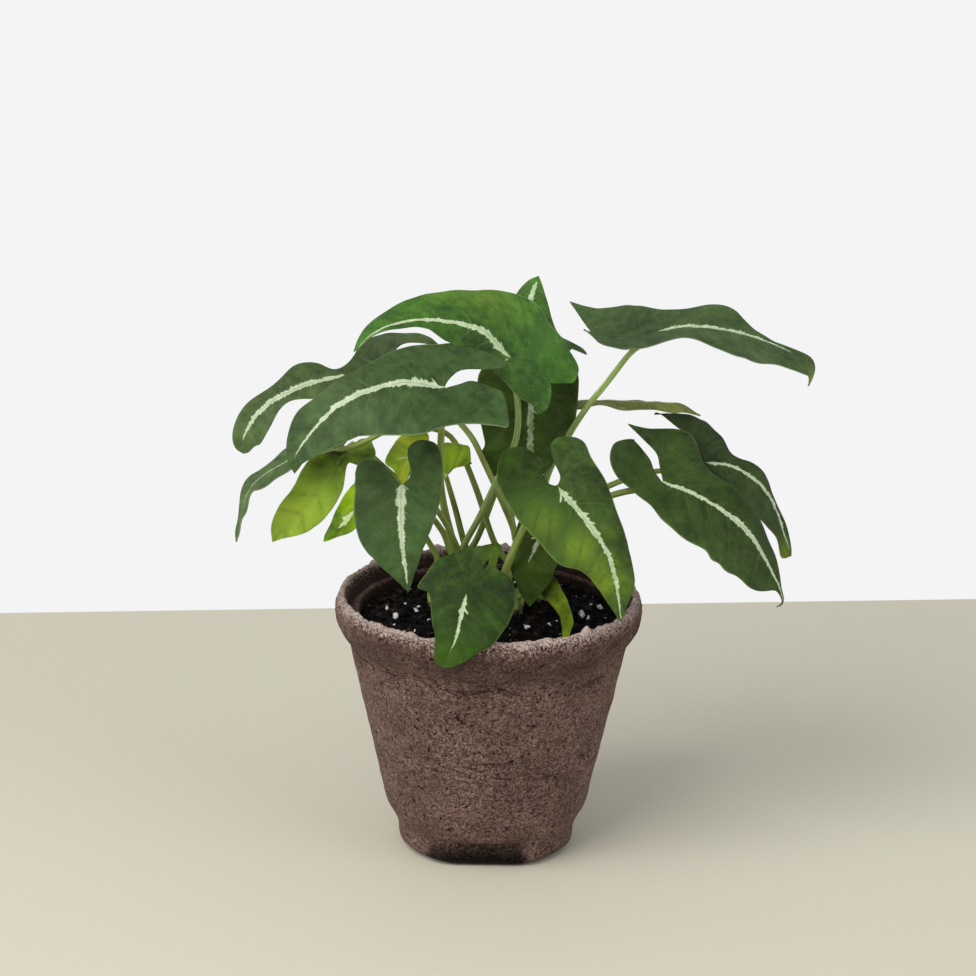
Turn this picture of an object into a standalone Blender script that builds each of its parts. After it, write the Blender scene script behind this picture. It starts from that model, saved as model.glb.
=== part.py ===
"""Potted syngonium: a moulded-fibre nursery pot, potting mix, four crowns and
eighteen arrow-shaped leaves, each on its own petiole.

Lengths are in millimetres here and turned into metres as each mesh is made.
The origin is the centre of the pot's base on the standing surface, +Z is up
and -Y is the plant's front.
"""
import math

import bmesh
import bpy
import numpy as np

MM = 0.001
GAP = 0.3

# the pot: a 4.5 inch round pulp pot
POT_HEIGHT = 98.0
RIM_RADIUS = 57.0
POT_SEGMENTS = 48

# blades and petioles
BLADE_THICKNESS = 0.6
BLADE_ROWS = 8
LOBE_ROWS = 5
BLADE_COLUMNS = 3
PETIOLE_SIDES = 6
PETIOLE_RINGS = 10
PETIOLE_BASE_RADIUS = 1.4
PETIOLE_TOP_RADIUS = 0.9

# the crowns stand on the mix and carry the petioles
SOIL_TOP = 90.0
CROWN_TOP = 96.0
CROWN_RADIUS = 5.8
CROWNS = {
    "west": (-18, 7),
    "middle": (-5, 11),
    "east": (8, 3),
    "rear": (17, 15),
}


def clear_scene():
    """Take the start-up objects out."""
    for item in list(bpy.data.objects):
        bpy.data.objects.remove(item, do_unlink=True)


def material(name, colour, roughness):
    """A Principled material of one colour."""
    made = bpy.data.materials.new(name)
    made.use_nodes = True
    shader = made.node_tree.nodes["Principled BSDF"]
    shader.inputs["Base Color"].default_value = (*colour, 1.0)
    shader.inputs["Roughness"].default_value = roughness
    shader.inputs["Metallic"].default_value = 0.0
    made.diffuse_color = (*colour, 1.0)
    return made


def add_mesh(name, mesh_data, surface):
    """Make an object of a bmesh, in metres, smooth shaded, faces outward."""
    bmesh.ops.remove_doubles(mesh_data, verts=mesh_data.verts, dist=0.01)
    bmesh.ops.recalc_face_normals(mesh_data, faces=mesh_data.faces)
    bmesh.ops.scale(mesh_data, vec=(MM, MM, MM), verts=mesh_data.verts)
    for face in mesh_data.faces:
        face.smooth = True
    mesh = bpy.data.meshes.new(name)
    mesh_data.to_mesh(mesh)
    mesh_data.free()
    mesh.materials.append(surface)
    made = bpy.data.objects.new(name, mesh)
    bpy.context.scene.collection.objects.link(made)
    return made


def lathe(name, profile, surface, segments=POT_SEGMENTS):
    """Spin a closed (radius, height) profile, axis to axis, round Z."""
    shape = bmesh.new()
    points = [shape.verts.new((radius, 0.0, height)) for radius, height in profile]
    edges = [shape.edges.new(pair) for pair in zip(points[:-1], points[1:])]
    bmesh.ops.spin(
        shape,
        geom=points + edges,
        cent=(0, 0, 0),
        axis=(0, 0, 1),
        angle=2 * math.pi,
        steps=segments,
        use_merge=True,
    )
    return add_mesh(name, shape, surface)


def unit(vector):
    return vector / np.linalg.norm(vector)


def smooth_line(points, count):
    """A Catmull-Rom line through the points, cut into count even steps."""
    spots = np.array(points, float)
    ends = np.vstack([2 * spots[0] - spots[1], spots, 2 * spots[-1] - spots[-2]])
    fine = []
    for before, start, end, after in zip(ends, ends[1:], ends[2:], ends[3:]):
        for share in np.linspace(0, 1, 16, endpoint=False):
            fine.append(
                start
                + share * (end - before) / 2
                + share**2 * (2 * before - 5 * start + 4 * end - after) / 2
                + share**3 * (3 * start - before - 3 * end + after) / 2
            )
    fine.append(spots[-1])
    fine = np.array(fine)
    lengths = np.linalg.norm(np.diff(fine, axis=0), axis=1)
    run = np.concatenate([[0], np.cumsum(lengths)])
    steps = np.linspace(0, run[-1], count + 1)
    line = [np.interp(steps, run, fine[:, axis]) for axis in range(fine.shape[1])]
    return np.array(line).T, run[-1]


class Blade:
    """An arrow-shaped blade bent along its midrib.

    midrib: points from the hub, where the petiole joins, to the tip.
    face: the direction the upper side looks at the hub.
    left, right: the margin as (along, across) millimetres, from near the tip
    round to the end of the lobe behind the hub.
    slope: rise of each half off the midrib in degrees, left hub, left tip,
    right hub, right tip.
    drop: how far each lobe turns down behind the hub; bend: how far each
    half arches over; twist: turn of the tip against the hub.
    notch: the middle of the edge between hub and lobe end, left and right.
    """

    def __init__(self, midrib, face, left, right, slope, drop=(0, 0), bend=(-10, -10),
                 twist=0, notch=(None, None), wave=0.8):
        self.rib, self.length = smooth_line(midrib, 24)
        self.margins = (left, right)
        self.slope, self.drop, self.bend = np.radians([slope[:2], slope[2:]]), drop, bend
        self.notch, self.wave = notch, wave
        along = np.gradient(self.rib, axis=0)
        self.along = along / np.linalg.norm(along, axis=1)[:, None]
        ups = [unit(np.array(face, float) - np.dot(face, self.along[0]) * self.along[0])]
        for heading in self.along[1:]:
            ups.append(unit(ups[-1] - np.dot(ups[-1], heading) * heading))
        ups = np.array(ups)
        sides = np.cross(self.along, ups)
        turn = np.radians(twist) * np.linspace(0, 1, len(ups))[:, None]
        self.up = ups * np.cos(turn) + sides * np.sin(turn)
        self.side = sides * np.cos(turn) - ups * np.sin(turn)
        self.stations = np.linspace(0, self.length, len(ups))

    def read(self, table, distance):
        return np.array([np.interp(distance, self.stations, table[:, axis]) for axis in range(3)])

    def spot(self, along, across, half, reach, margin_share):
        """The place of a flat (along, across) point on the bent blade."""
        rise, tip_rise = self.slope[half]
        if along >= 0:
            place = self.read(self.rib, along)
            up = unit(self.read(self.up, along))
            side = unit(self.read(self.side, along))
            rise = rise + (tip_rise - rise) * along / self.length
        else:
            ahead, over, side = self.along[0], self.up[0], self.side[0]
            lobe = max(6.0, -self.margins[half][-1][0])
            turn = math.radians(self.drop[half]) * -along / lobe
            if abs(turn) < 1e-4:
                place, up = self.rib[0] + ahead * along, over
            else:
                radius = -along / turn
                place = (self.rib[0] - ahead * radius * math.sin(turn)
                         - over * radius * (1 - math.cos(turn)))
                up = over * math.cos(turn) - ahead * math.sin(turn)
        arch = math.radians(self.bend[half]) / 24
        if abs(arch * across) < 1e-4:
            out, lift = across * math.cos(rise), across * math.sin(rise)
        else:
            out = (math.sin(rise + arch * across) - math.sin(rise)) / arch
            lift = (math.cos(rise) - math.cos(rise + arch * across)) / arch
        ripple = math.sin(6 * math.pi * margin_share + 2.1 * half)
        lift += self.wave * reach**2 * ripple * min(1, 4 * margin_share)
        return place + side * out * (-1, 1)[half] + up * lift

    def half(self, half):
        """Rows of places from the tip to the lobe end, midrib to margin."""
        margin, _ = smooth_line([(self.length, 0)] + list(self.margins[half]), 200)
        end = self.margins[half][-1]
        inside = self.notch[half] or (end[0] * 0.5, end[1] * 0.4)
        sinus, _ = smooth_line([(0, 0), inside, end], LOBE_ROWS)
        hub = int(np.argmax(margin[:, 0] <= 0))
        shares = np.concatenate([
            np.linspace(0, hub, BLADE_ROWS + 1),
            np.linspace(hub, 200, LOBE_ROWS + 1)[1:],
        ])
        rib = np.linspace(self.length, 0, BLADE_ROWS + 1)
        inner = [(along, 0.0) for along in rib] + [tuple(spot) for spot in sinus[1:]]
        rows = []
        for share, start in zip(shares, inner):
            outer = [np.interp(share, np.arange(201), margin[:, axis]) for axis in (0, 1)]
            row = []
            for column in range(BLADE_COLUMNS + 1):
                reach = column / BLADE_COLUMNS
                along, across = np.array(start) * (1 - reach) + np.array(outer) * reach
                row.append(self.spot(along, across, half, reach, share / 200))
            rows.append(row)
        return rows


def add_blade(name, blade, surface):
    """The two halves joined at the midrib, given a thickness."""
    shape = bmesh.new()
    for half in (0, 1):
        rows = [[shape.verts.new(place) for place in row] for row in blade.half(half)]
        for low, high in zip(rows, rows[1:]):
            for column in range(BLADE_COLUMNS):
                quad = [low[column], low[column + 1], high[column + 1], high[column]]
                shape.faces.new(quad if half else quad[::-1])
    bmesh.ops.remove_doubles(shape, verts=shape.verts, dist=0.01)
    bmesh.ops.dissolve_degenerate(shape, edges=shape.edges, dist=0.01)
    made = add_mesh(name, shape, surface)
    skin = made.modifiers.new("thickness", "SOLIDIFY")
    skin.thickness = BLADE_THICKNESS * MM
    skin.offset = 0.0
    return made


def add_petiole(name, crown, bearing, path, blade, surface):
    """A round tapering stalk from its crown to just under the blade's hub."""
    middle = CROWNS[crown]
    ring = CROWN_RADIUS - PETIOLE_BASE_RADIUS - 0.4
    foot = np.array([
        middle[0] + ring * math.cos(math.radians(bearing)),
        middle[1] + ring * math.sin(math.radians(bearing)),
        CROWN_TOP + GAP,
    ])
    lean = max(0.0, -math.sin(blade.slope[:, 0].min()))
    under = BLADE_THICKNESS / 2 + GAP + PETIOLE_TOP_RADIUS * lean
    top = blade.rib[0] - blade.up[0] * under
    neck = blade.rib[0] - blade.up[0] * (under + 2.5)
    points = [foot, foot + [0, 0, 2.0]] + [np.array(spot, float) for spot in path] + [neck, top]
    line, _ = smooth_line(points, PETIOLE_RINGS)
    headings = np.gradient(line, axis=0)
    headings[0] = (0, 0, 1)
    headings[-1] = blade.up[0]
    shape = bmesh.new()
    side = np.array([1.0, 0.0, 0.0])
    rings = []
    for step, (centre, heading) in enumerate(zip(line, headings)):
        heading = unit(heading)
        side = unit(side - np.dot(side, heading) * heading)
        other = np.cross(heading, side)
        share = step / PETIOLE_RINGS
        radius = PETIOLE_BASE_RADIUS + (PETIOLE_TOP_RADIUS - PETIOLE_BASE_RADIUS) * share
        loop = []
        for corner in range(PETIOLE_SIDES):
            angle = 2 * math.pi * corner / PETIOLE_SIDES
            loop.append(shape.verts.new(
                centre + radius * (side * math.cos(angle) + other * math.sin(angle))
            ))
        rings.append(loop)
    for low, high in zip(rings, rings[1:]):
        for corner in range(PETIOLE_SIDES):
            after = (corner + 1) % PETIOLE_SIDES
            shape.faces.new([low[corner], low[after], high[after], high[corner]])
    shape.faces.new(rings[0][::-1])
    shape.faces.new(rings[-1])
    return add_mesh(name, shape, surface)


# Each leaf: colour, blade, crown, bearing on the crown and the petiole's way.
LEAVES = {
    "crest": (
        "mid_green",
        Blade(
            [(6, -12, 192), (-5, -13, 203), (-26, -16, 207), (-41, -20, 204), (-50, -24, 197)],
            face=(0, 0, 1), slope=(-20, 10, 30, 12), drop=(18, -10), notch=((-12, -3), None),
            left=[(59, 2), (48, 4), (40, 6), (34, 12), (28, 19), (18, 21), (8, 20), (-3, 14),
                  (-14, 8), (-24, 1)],
            right=[(61, 3), (51, 8), (37, 15), (28, 20), (16, 26), (5, 32), (-7, 35), (-18, 34),
                   (-27, 29), (-30, 18)],
        ),
        "west", 30, [(-10, 9, 112), (-4, 6, 125), (2, 2, 140), (9, -2, 158), (9, -8, 177)],
    ),
    "front_left": (
        "deep_green",
        Blade(
            [(-17, -32, 186), (-33, -36, 189), (-54, -40, 182), (-69, -43, 165), (-70, -44, 157)],
            face=(0, 0, 1), slope=(-28, -22, 14, 10), drop=(-15, 0), twist=-35,
            notch=((-12, -4), (-6, 9)),
            left=[(68, 3), (60, 7), (50, 11), (39, 15), (31, 19), (20, 22), (8, 22), (-1, 19),
                  (-9, 18), (-17, 18), (-22, 12), (-22, 5)],
            right=[(66, 3), (59, 9), (52, 13), (43, 12), (33, 13), (25, 18), (15, 23), (4, 27),
                   (-8, 29), (-19, 27), (-26, 18)],
        ),
        "middle", 190, [(-13, 0, 115), (-18, -10, 141), (-18, -24, 169)],
    ),
    "far_left": (
        "deep_green",
        Blade(
            [(-41, 12, 181), (-54, 10, 178), (-70, 8, 174), (-84, 6, 166), (-91, 5, 155),
             (-91, 4, 149)],
            face=(0, 0, 1), slope=(-15, -15, 14, 12), drop=(20, 0), twist=-40,
            left=[(66, 2), (61, 7), (54, 8), (46, 8), (38, 6), (26, 8), (12, 10), (0, 11),
                  (-10, 9), (-14, 5)],
            right=[(64, 3), (58, 6), (50, 7), (42, 6), (36, 9), (29, 11), (22, 9), (16, 5),
                   (9, 7), (2, 16), (-6, 22), (-14, 20), (-20, 10)],
        ),
        "rear", 205, [(10, 10, 114), (8, 11, 122), (-2, 11, 146), (-9, 11, 158), (-23, 11, 170)],
    ),
    "low_left": (
        "deep_green",
        Blade(
            [(-60, -5, 157), (-75, -8, 150), (-88, -10, 140), (-93, -14, 121)],
            face=(0, 0, 1), slope=(-5, -5, 10, 10), drop=(20, 20),
            left=[(45, 2), (34, 5), (19, 7), (4, 8), (-4, 7), (-8, 3)],
            right=[(45, 2), (34, 5), (19, 7), (4, 8), (-4, 7), (-8, 3)],
        ),
        "rear", 155, [(3, 15, 110), (-5, 14, 133), (-11, 15, 147), (-18, 13, 156),
                      (-35, 3, 160), (-50, -1, 154)],
    ),
    "yellow_left": (
        "yellow_green",
        Blade(
            [(-54, 5, 149), (-60, 2, 140), (-67, 0, 130), (-80, -2, 117)],
            face=(0, -1, 0.4), slope=(0, 0, 0, 0), drop=(20, 20),
            left=[(38, 2), (31, 6), (22, 8), (12, 8), (0, 6), (-7, 4)],
            right=[(38, 5), (31, 8), (22, 9), (12, 10), (2, 9), (-8, 6)],
        ),
        "middle", 135, [(-14, 14, 108), (-18, 13, 118), (-30, 10, 134), (-39, 9, 143), (-50, 9, 152)],
    ),
    "small_left": (
        "bright_green",
        Blade(
            [(-39, -5, 139), (-48, -8, 134), (-53, -10, 128), (-61, -12, 121)],
            face=(0, -0.6, 1), slope=(5, 5, 5, 5), drop=(20, 20),
            left=[(27, 2), (20, 5), (11, 8), (2, 9), (-5, 8), (-9, 4)],
            right=[(27, 2), (20, 5), (11, 8), (2, 9), (-5, 8), (-9, 4)],
        ),
        "west", 200, [(-19, 0, 110), (-23, -2, 119), (-30, -4, 132)],
    ),
    "hanging": (
        "deep_green",
        Blade(
            [(-32, -34, 150), (-32, -38, 138), (-31, -40, 126), (-29, -42, 112)],
            face=(0, -0.95, 0.31), slope=(0, 0, 0, 0),
            left=[(33, 3), (27, 6), (16, 11), (6, 14), (-5, 15), (-12, 14), (-15, 9)],
            right=[(34, 4), (27, 10), (20, 15), (12, 17), (2, 17), (-4, 16), (-6, 11), (-6, 6)],
        ),
        "middle", 250, [(-10, -8, 113), (-16, -20, 131), (-24, -29, 145)],
    ),
    "yellow_inner": (
        "yellow_green",
        Blade(
            [(-16, 2, 142), (-23, 4, 147), (-30, 6, 148), (-39, 6, 146)],
            face=(0, -1, 0.6), slope=(0, 0, 0, 0), drop=(20, 20),
            left=[(22, 4), (12, 8), (3, 7), (-3, 5), (-5, 2)],
            right=[(22, 5), (14, 10), (4, 12), (-4, 13), (-9, 9), (-8, 4)],
        ),
        "middle", 70, [(-9, 14, 111), (-13, 11, 127)],
    ),
    "front": (
        "mid_green",
        Blade(
            [(-8, -51, 115), (-10, -56, 108), (-12, -60, 100), (-17, -60, 90)],
            face=(0, -0.95, 0.31), slope=(0, 0, 0, 0), notch=((-9, 0.8), (-9, 0.8)),
            left=[(23, 4), (19, 9), (15, 14), (8, 17), (-1, 18), (-8, 16), (-14, 11), (-18, 2)],
            right=[(23, 4), (15, 8), (8, 12), (3, 17), (-4, 15), (-11, 13), (-16, 8), (-18, 2)],
        ),
        "middle", 310, [(-1, -14, 109), (-2, -32, 117), (-5, -45, 119)],
    ),
    "front_right": (
        "mid_green",
        Blade(
            [(24, -32, 150), (36, -38, 137), (44, -42, 124), (48, -46, 103)],
            face=(0.3, -0.95, 0.4), slope=(10, 5, 10, 5), drop=(20, 20),
            notch=(None, (-10, 0.5)),
            left=[(50, 3), (43, 7), (32, 8), (20, 11), (10, 15), (0, 16), (-6, 18), (-11, 16),
                  (-14, 12), (-13, 8)],
            right=[(51, 3), (44, 6), (33, 11), (24, 17), (12, 18), (0, 20), (-8, 19), (-15, 16),
                   (-20, 11), (-22, 5)],
        ),
        "east", 250, [(6, -14, 111), (13, -18, 131), (19, -26, 144)],
    ),
    "inner_right": (
        "deep_green",
        Blade(
            [(19, -6, 125), (17, -9, 119), (14, -12, 112), (15, -16, 98)],
            face=(0, -0.95, 0.31), slope=(0, 0, 0, 0),
            left=[(26, 4), (20, 9), (11, 10), (2, 9), (-6, 8), (-10, 5)],
            right=[(25, 3), (19, 5), (12, 8), (3, 9), (-5, 8), (-10, 5)],
        ),
        "east", 110, [(10, 4, 109), (15, 2, 118)],
    ),
    "strap": (
        "yellow_green",
        Blade(
            [(19, -5, 106), (24, -14, 101), (27, -27, 98), (27, -40, 93)],
            face=(0, -0.95, 0.31), slope=(0, 0, 0, 0),
            left=[(20, 3), (12, 4), (4, 4), (-2, 2)],
            right=[(20, 2), (12, 3), (4, 3), (-2, 2)],
        ),
        "east", 300, [(11, -5, 98), (15, -4, 102)],
    ),
    "low_right": (
        "deep_green",
        Blade(
            [(63, -8, 144), (76, -14, 141), (93, -18, 130), (104, -21, 113), (107, -22, 104)],
            face=(0, -0.3, 1), slope=(12, -8, -12, -12), drop=(-45, -40),
            notch=((-12, 4), (-13, -8)),
            left=[(60, 5), (50, 9), (40, 10), (28, 12), (15, 14), (5, 17), (-3, 20), (-10, 22),
                  (-18, 20), (-28, 14)],
            right=[(62, 5), (53, 11), (43, 16), (30, 18), (18, 19), (8, 17), (0, 12), (-8, 9),
                   (-15, 8), (-21, 5), (-23, -2)],
        ),
        "east", 10, [(14, 2, 110), (22, 2, 121), (33, 0, 130), (42, -2, 136), (52, -5, 140)],
    ),
    "rear_right": (
        "deep_green",
        Blade(
            [(77, 14, 145), (90, 12, 144), (103, 10, 134), (112, 8, 111)],
            face=(0, -0.3, 1), slope=(12, -5, -12, -12), drop=(-35, -40),
            notch=((-11, 12), None),
            left=[(52, 2), (43, 3), (33, 3), (25, 5), (17, 6), (11, 5), (8, 9), (4, 14),
                  (-2, 21), (-9, 24), (-16, 22), (-22, 16)],
            right=[(50, 5), (38, 10), (24, 13), (10, 13), (0, 11), (-7, 9), (-11, 5)],
        ),
        "rear", 300, [(22, 13, 112), (29, 15, 124), (37, 14, 131), (45, 14, 136), (59, 14, 141)],
    ),
    "high_right": (
        "deep_green",
        Blade(
            [(55, -4, 199), (71, -6, 203), (91, -8, 201), (108, -10, 195), (116, -10, 190),
             (115, -10, 182)],
            face=(0, 0, 1), slope=(20, 8, -5, -5), drop=(0, -25), bend=(0, 0),
            notch=((-19, 6), (-12, -1.5)),
            left=[(69, 4), (58, 3), (46, 4), (38, 7), (30, 15), (23, 16), (14, 13), (4, 15),
                  (-8, 19), (-18, 21), (-29, 26)],
            right=[(69, 6), (60, 13), (52, 17), (45, 21), (36, 20), (27, 15), (17, 12), (8, 15),
                   (0, 14), (-8, 10), (-16, 6), (-23, -4)],
        ),
        "rear", 0, [(20, 17, 116), (24, 16, 137), (30, 12, 155), (36, 6, 169), (41, 4, 177),
                    (50, -1, 191)],
    ),
    "level_right": (
        "bright_green",
        Blade(
            [(29, 34, 161), (44, 34, 161), (61, 34, 160), (76, 34, 156)],
            face=(0, 0.2, 1), slope=(-8, -8, -5, -5), drop=(20, 20),
            left=[(43, 2), (33, 7), (18, 11), (4, 12), (-4, 11), (-8, 5)],
            right=[(43, 2), (33, 7), (18, 11), (4, 12), (-4, 11), (-8, 5)],
        ),
        "rear", 50, [(20, 28, 118), (23, 36, 138), (26, 38, 152)],
    ),
    "rear_top": (
        "mid_green",
        Blade(
            [(14, 30, 183), (13, 42, 189), (14, 52, 196), (17, 60, 203)],
            face=(0, -0.6, 1), slope=(-20, -20, -20, -20), drop=(20, 20),
            left=[(34, 3), (26, 6), (10, 9), (-5, 9), (-9, 5)],
            right=[(33, 3), (27, 6), (13, 10), (0, 12), (-8, 10), (-10, 6)],
        ),
        "rear", 100, [(8, 26, 118), (11, 28, 140), (12, 28, 164)],
    ),
    "centre": (
        "dark_green",
        Blade(
            [(13, 14, 174), (13, 12, 161), (13, 10, 148), (12, 8, 138)],
            face=(0, -1, 0.1), slope=(0, 0, 0, 0), drop=(20, 20),
            left=[(35, 4), (27, 11), (15, 17), (3, 19), (-5, 18), (-9, 13), (-10, 8)],
            right=[(35, 4), (27, 11), (15, 17), (3, 19), (-5, 18), (-9, 13), (-10, 8)],
        ),
        "west", 90, [(-15, 20, 102), (-6, 22, 109), (2, 22, 130), (10, 22, 148)],
    ),
}

clear_scene()

fibre = material("moulded_fibre", (0.17, 0.12, 0.10), 0.95)
mix = material("potting_mix", (0.012, 0.010, 0.009), 0.95)
stalk = material("petiole_green", (0.28, 0.35, 0.10), 0.5)
greens = {
    "deep_green": material("blade_deep_green", (0.045, 0.11, 0.04), 0.45),
    "mid_green": material("blade_mid_green", (0.08, 0.22, 0.04), 0.45),
    "bright_green": material("blade_bright_green", (0.16, 0.32, 0.05), 0.45),
    "yellow_green": material("blade_yellow_green", (0.28, 0.38, 0.05), 0.45),
    "dark_green": material("blade_dark_green", (0.02, 0.05, 0.02), 0.45),
}

# outside up, over the rolled rim, down the inside and across the floor
lathe("pot", [
    (0, 0), (30.5, 0), (32.5, 2.5), (32.7, 8), (34.3, 12), (37.2, 17), (38.3, 21),
    (50.9, 76), (51.8, 79.5), (54.5, 82), (56.8, 86), (RIM_RADIUS, 92), (56, 96.5),
    (53.8, POT_HEIGHT), (52.2, 97.3), (51.8, 92.5), (50.2, 90), (48.5, 89.3), (48.2, 87.5),
    (47.2, 76), (34.6, 21.5), (31, 13), (29, 6), (27, 4), (0, 4),
], fibre)

# the mix fills the pot to just under the inner ledge and is a little domed
lathe("potting_mix", [
    (0, 4.3), (26.8, 4.3), (28.6, 6.2), (30.6, 13.1), (34.2, 21.7), (46.8, 76.1),
    (47.7, 87.2), (47, 88.3), (38, 89.4), (26, SOIL_TOP), (0, SOIL_TOP),
], mix)

for side, (x, y) in CROWNS.items():
    shape = bmesh.new()
    bmesh.ops.create_cone(
        shape, cap_ends=True, segments=12, radius1=CROWN_RADIUS + 0.4, radius2=CROWN_RADIUS,
        depth=CROWN_TOP - SOIL_TOP - GAP,
    )
    bmesh.ops.translate(
        shape, vec=(x, y, (CROWN_TOP + SOIL_TOP + GAP) / 2), verts=shape.verts,
    )
    add_mesh(f"crown_{side}", shape, stalk)

for leaf, (green, blade, crown, bearing, path) in LEAVES.items():
    add_blade(f"blade_{leaf}", blade, greens[green])
    add_petiole(f"petiole_{leaf}", crown, bearing, path, blade, stalk)
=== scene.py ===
# %% [markdown]
# # A potted syngonium
# An arrowhead vine in a moulded-fibre nursery pot. The imported solids give the
# exact place of the pot, the mix, every blade and every stalk. This lesson
# dresses them: each plain solid is replaced by a finer piece in the same place,
# with a finish made of nodes. The first cell loads the solids.

# %% Load the solids
import math
import random
from types import SimpleNamespace

import bpy
import numpy as np
from mathutils import Matrix, Vector, noise


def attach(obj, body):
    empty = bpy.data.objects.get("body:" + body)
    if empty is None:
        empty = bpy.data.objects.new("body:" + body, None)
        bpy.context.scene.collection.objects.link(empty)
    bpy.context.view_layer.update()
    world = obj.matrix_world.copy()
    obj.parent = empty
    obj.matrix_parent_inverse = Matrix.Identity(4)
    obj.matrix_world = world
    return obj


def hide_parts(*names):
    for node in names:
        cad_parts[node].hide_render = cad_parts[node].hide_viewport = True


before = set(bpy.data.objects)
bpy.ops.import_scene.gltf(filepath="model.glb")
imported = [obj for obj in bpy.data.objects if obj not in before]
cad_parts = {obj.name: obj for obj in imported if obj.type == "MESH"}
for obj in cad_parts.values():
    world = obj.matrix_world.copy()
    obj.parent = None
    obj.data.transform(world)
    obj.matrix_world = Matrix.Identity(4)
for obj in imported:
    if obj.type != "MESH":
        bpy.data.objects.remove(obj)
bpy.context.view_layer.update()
bpy.ops.object.select_all(action="DESELECT")
print("solids loaded:", len(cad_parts))

# %% [markdown]
# Lengths below are in millimetres, as a maker would measure the plant, and MM
# turns them into Blender's metres. Colours are written as the hex values a
# painter would pick, and one function turns them into the linear numbers that
# shaders need.

# %% Units and colour
MM = 0.001


def linear(hex_colour):
    """The linear RGBA of an sRGB hex colour."""
    parts = [int(hex_colour[place:place + 2], 16) / 255 for place in (1, 3, 5)]
    return (*[part / 12.92 if part <= 0.04045 else ((part + 0.055) / 1.055) ** 2.4
              for part in parts], 1.0)


print("leaf green in linear light:", [round(part, 3) for part in linear("#3c5a35")])

# %% [markdown]
# Every finish is a small tree of nodes. One helper adds a node of any kind,
# sets it up, and links or fills its inputs, so each finish below reads as a
# list of steps.

# %% The node helper
def add(tree, kind, inputs=(), **settings):
    """Add a node, set it up, and return its outputs.

    An input given a socket is linked, and anything else is its value. Inputs
    are named or numbered in a dictionary, or listed from the first one.
    """
    node = tree.nodes.new("ShaderNode" + kind)
    for name, value in settings.items():
        setattr(node, name, value)
    for key, value in (inputs.items() if isinstance(inputs, dict) else enumerate(inputs)):
        if isinstance(value, bpy.types.NodeSocket):
            tree.links.new(value, node.inputs[key])
        else:
            node.inputs[key].default_value = value
    return node.outputs


def new_finish(name, roughness, ior=1.45):
    """An empty material with a Principled shader, and its tree."""
    made = bpy.data.materials.new(name)
    made.use_nodes = True
    shader = made.node_tree.nodes["Principled BSDF"]
    shader.inputs["Roughness"].default_value = roughness
    shader.inputs["IOR"].default_value = ior
    return made, made.node_tree, shader


print("finish helpers:", add.__name__, new_finish.__name__)

# %% [markdown]
# The plant is looked at from the front, a little from above, through a long
# lens from about 1.8 m away, which keeps the pot's sides nearly straight. The
# camera is turned by a matrix of its right, up and backward directions; it is
# rolled by less than a degree.

# %% The camera
CAMERA_PLACE = (-0.91, -1671.22, 681.42)
CAMERA_PITCH = math.radians(18.0)
CAMERA_ROLL = math.radians(0.8)
CAMERA_LENS = 176.6

level = Vector((1, 0, 0))
forward = Vector((0, math.cos(CAMERA_PITCH), -math.sin(CAMERA_PITCH)))
upright = level.cross(forward)
right = level * math.cos(CAMERA_ROLL) + upright * math.sin(CAMERA_ROLL)
above = upright * math.cos(CAMERA_ROLL) - level * math.sin(CAMERA_ROLL)
bpy.ops.object.camera_add()
camera = bpy.context.object
camera.data.lens = CAMERA_LENS
camera.matrix_world = Matrix.Translation(Vector(CAMERA_PLACE) * MM) @ Matrix(
    (right, above, -forward)).transposed().to_4x4()
bpy.context.scene.camera = camera
print("camera lens, mm:", camera.data.lens)

# %% [markdown]
# The stage is a table top whose far edge shows behind the pot, in front of a
# near-white room. It is a board painted a warm pale grey, matt enough to show
# soft shadows and no reflections. Two large soft lamps light the plant as a
# window and a bright wall would. The room is brighter to the camera than as a
# light, so that the lamps can still model the leaves.

# %% The stage and the light
TABLE_EDGE = 262.5
TABLE_SKEW = 0.085  # the far edge runs a little away to the right
TABLE_HALF = 1300.0

bpy.ops.mesh.primitive_plane_add(size=1)
table = bpy.context.object
table.name = "table_top"
for corner in table.data.vertices:
    corner.co = (corner.co.x * 2 * TABLE_HALF * MM,
                 (TABLE_EDGE + corner.co.x * 2 * TABLE_HALF * TABLE_SKEW if corner.co.y > 0
                  else -TABLE_HALF) * MM, 0)
table_finish, tree, shader = new_finish("painted_table", 0.6)
shader.inputs["Base Color"].default_value = linear("#cfc9b4")
table.data.materials.append(table_finish)

room = bpy.data.worlds.new("room")
room.use_nodes = True
tree = room.node_tree
tree.nodes.clear()
seen = add(tree, "Background", {"Color": linear("#f4f4f5"), "Strength": 1.0})[0]
fill = add(tree, "Background", {"Color": linear("#f2f4f8"), "Strength": 0.55})[0]
directly = add(tree, "LightPath")["Is Camera Ray"]
both = add(tree, "MixShader", (directly, fill, seen))[0]
add(tree, "OutputWorld", {"Surface": both})
bpy.context.scene.world = room


def soft_lamp(name, place, size, power, tint):
    """A large square lamp that looks at the middle of the plant."""
    bpy.ops.object.light_add(type="AREA", location=Vector(place) * MM)
    lamp = bpy.context.object
    lamp.name = name
    lamp.data.size = size * MM
    lamp.data.energy = power
    lamp.data.color = linear(tint)[:3]
    aim = Vector((0, 0, 110)) * MM - lamp.location
    lamp.rotation_euler = aim.to_track_quat("-Z", "Y").to_euler()
    return lamp


soft_lamp("window", (-950, -1050, 1300), 1500, 34, "#ffffff")
soft_lamp("bright_wall", (1200, -900, 700), 1200, 8, "#f4f6ff")
bpy.context.scene.view_settings.view_transform = "Standard"

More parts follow.
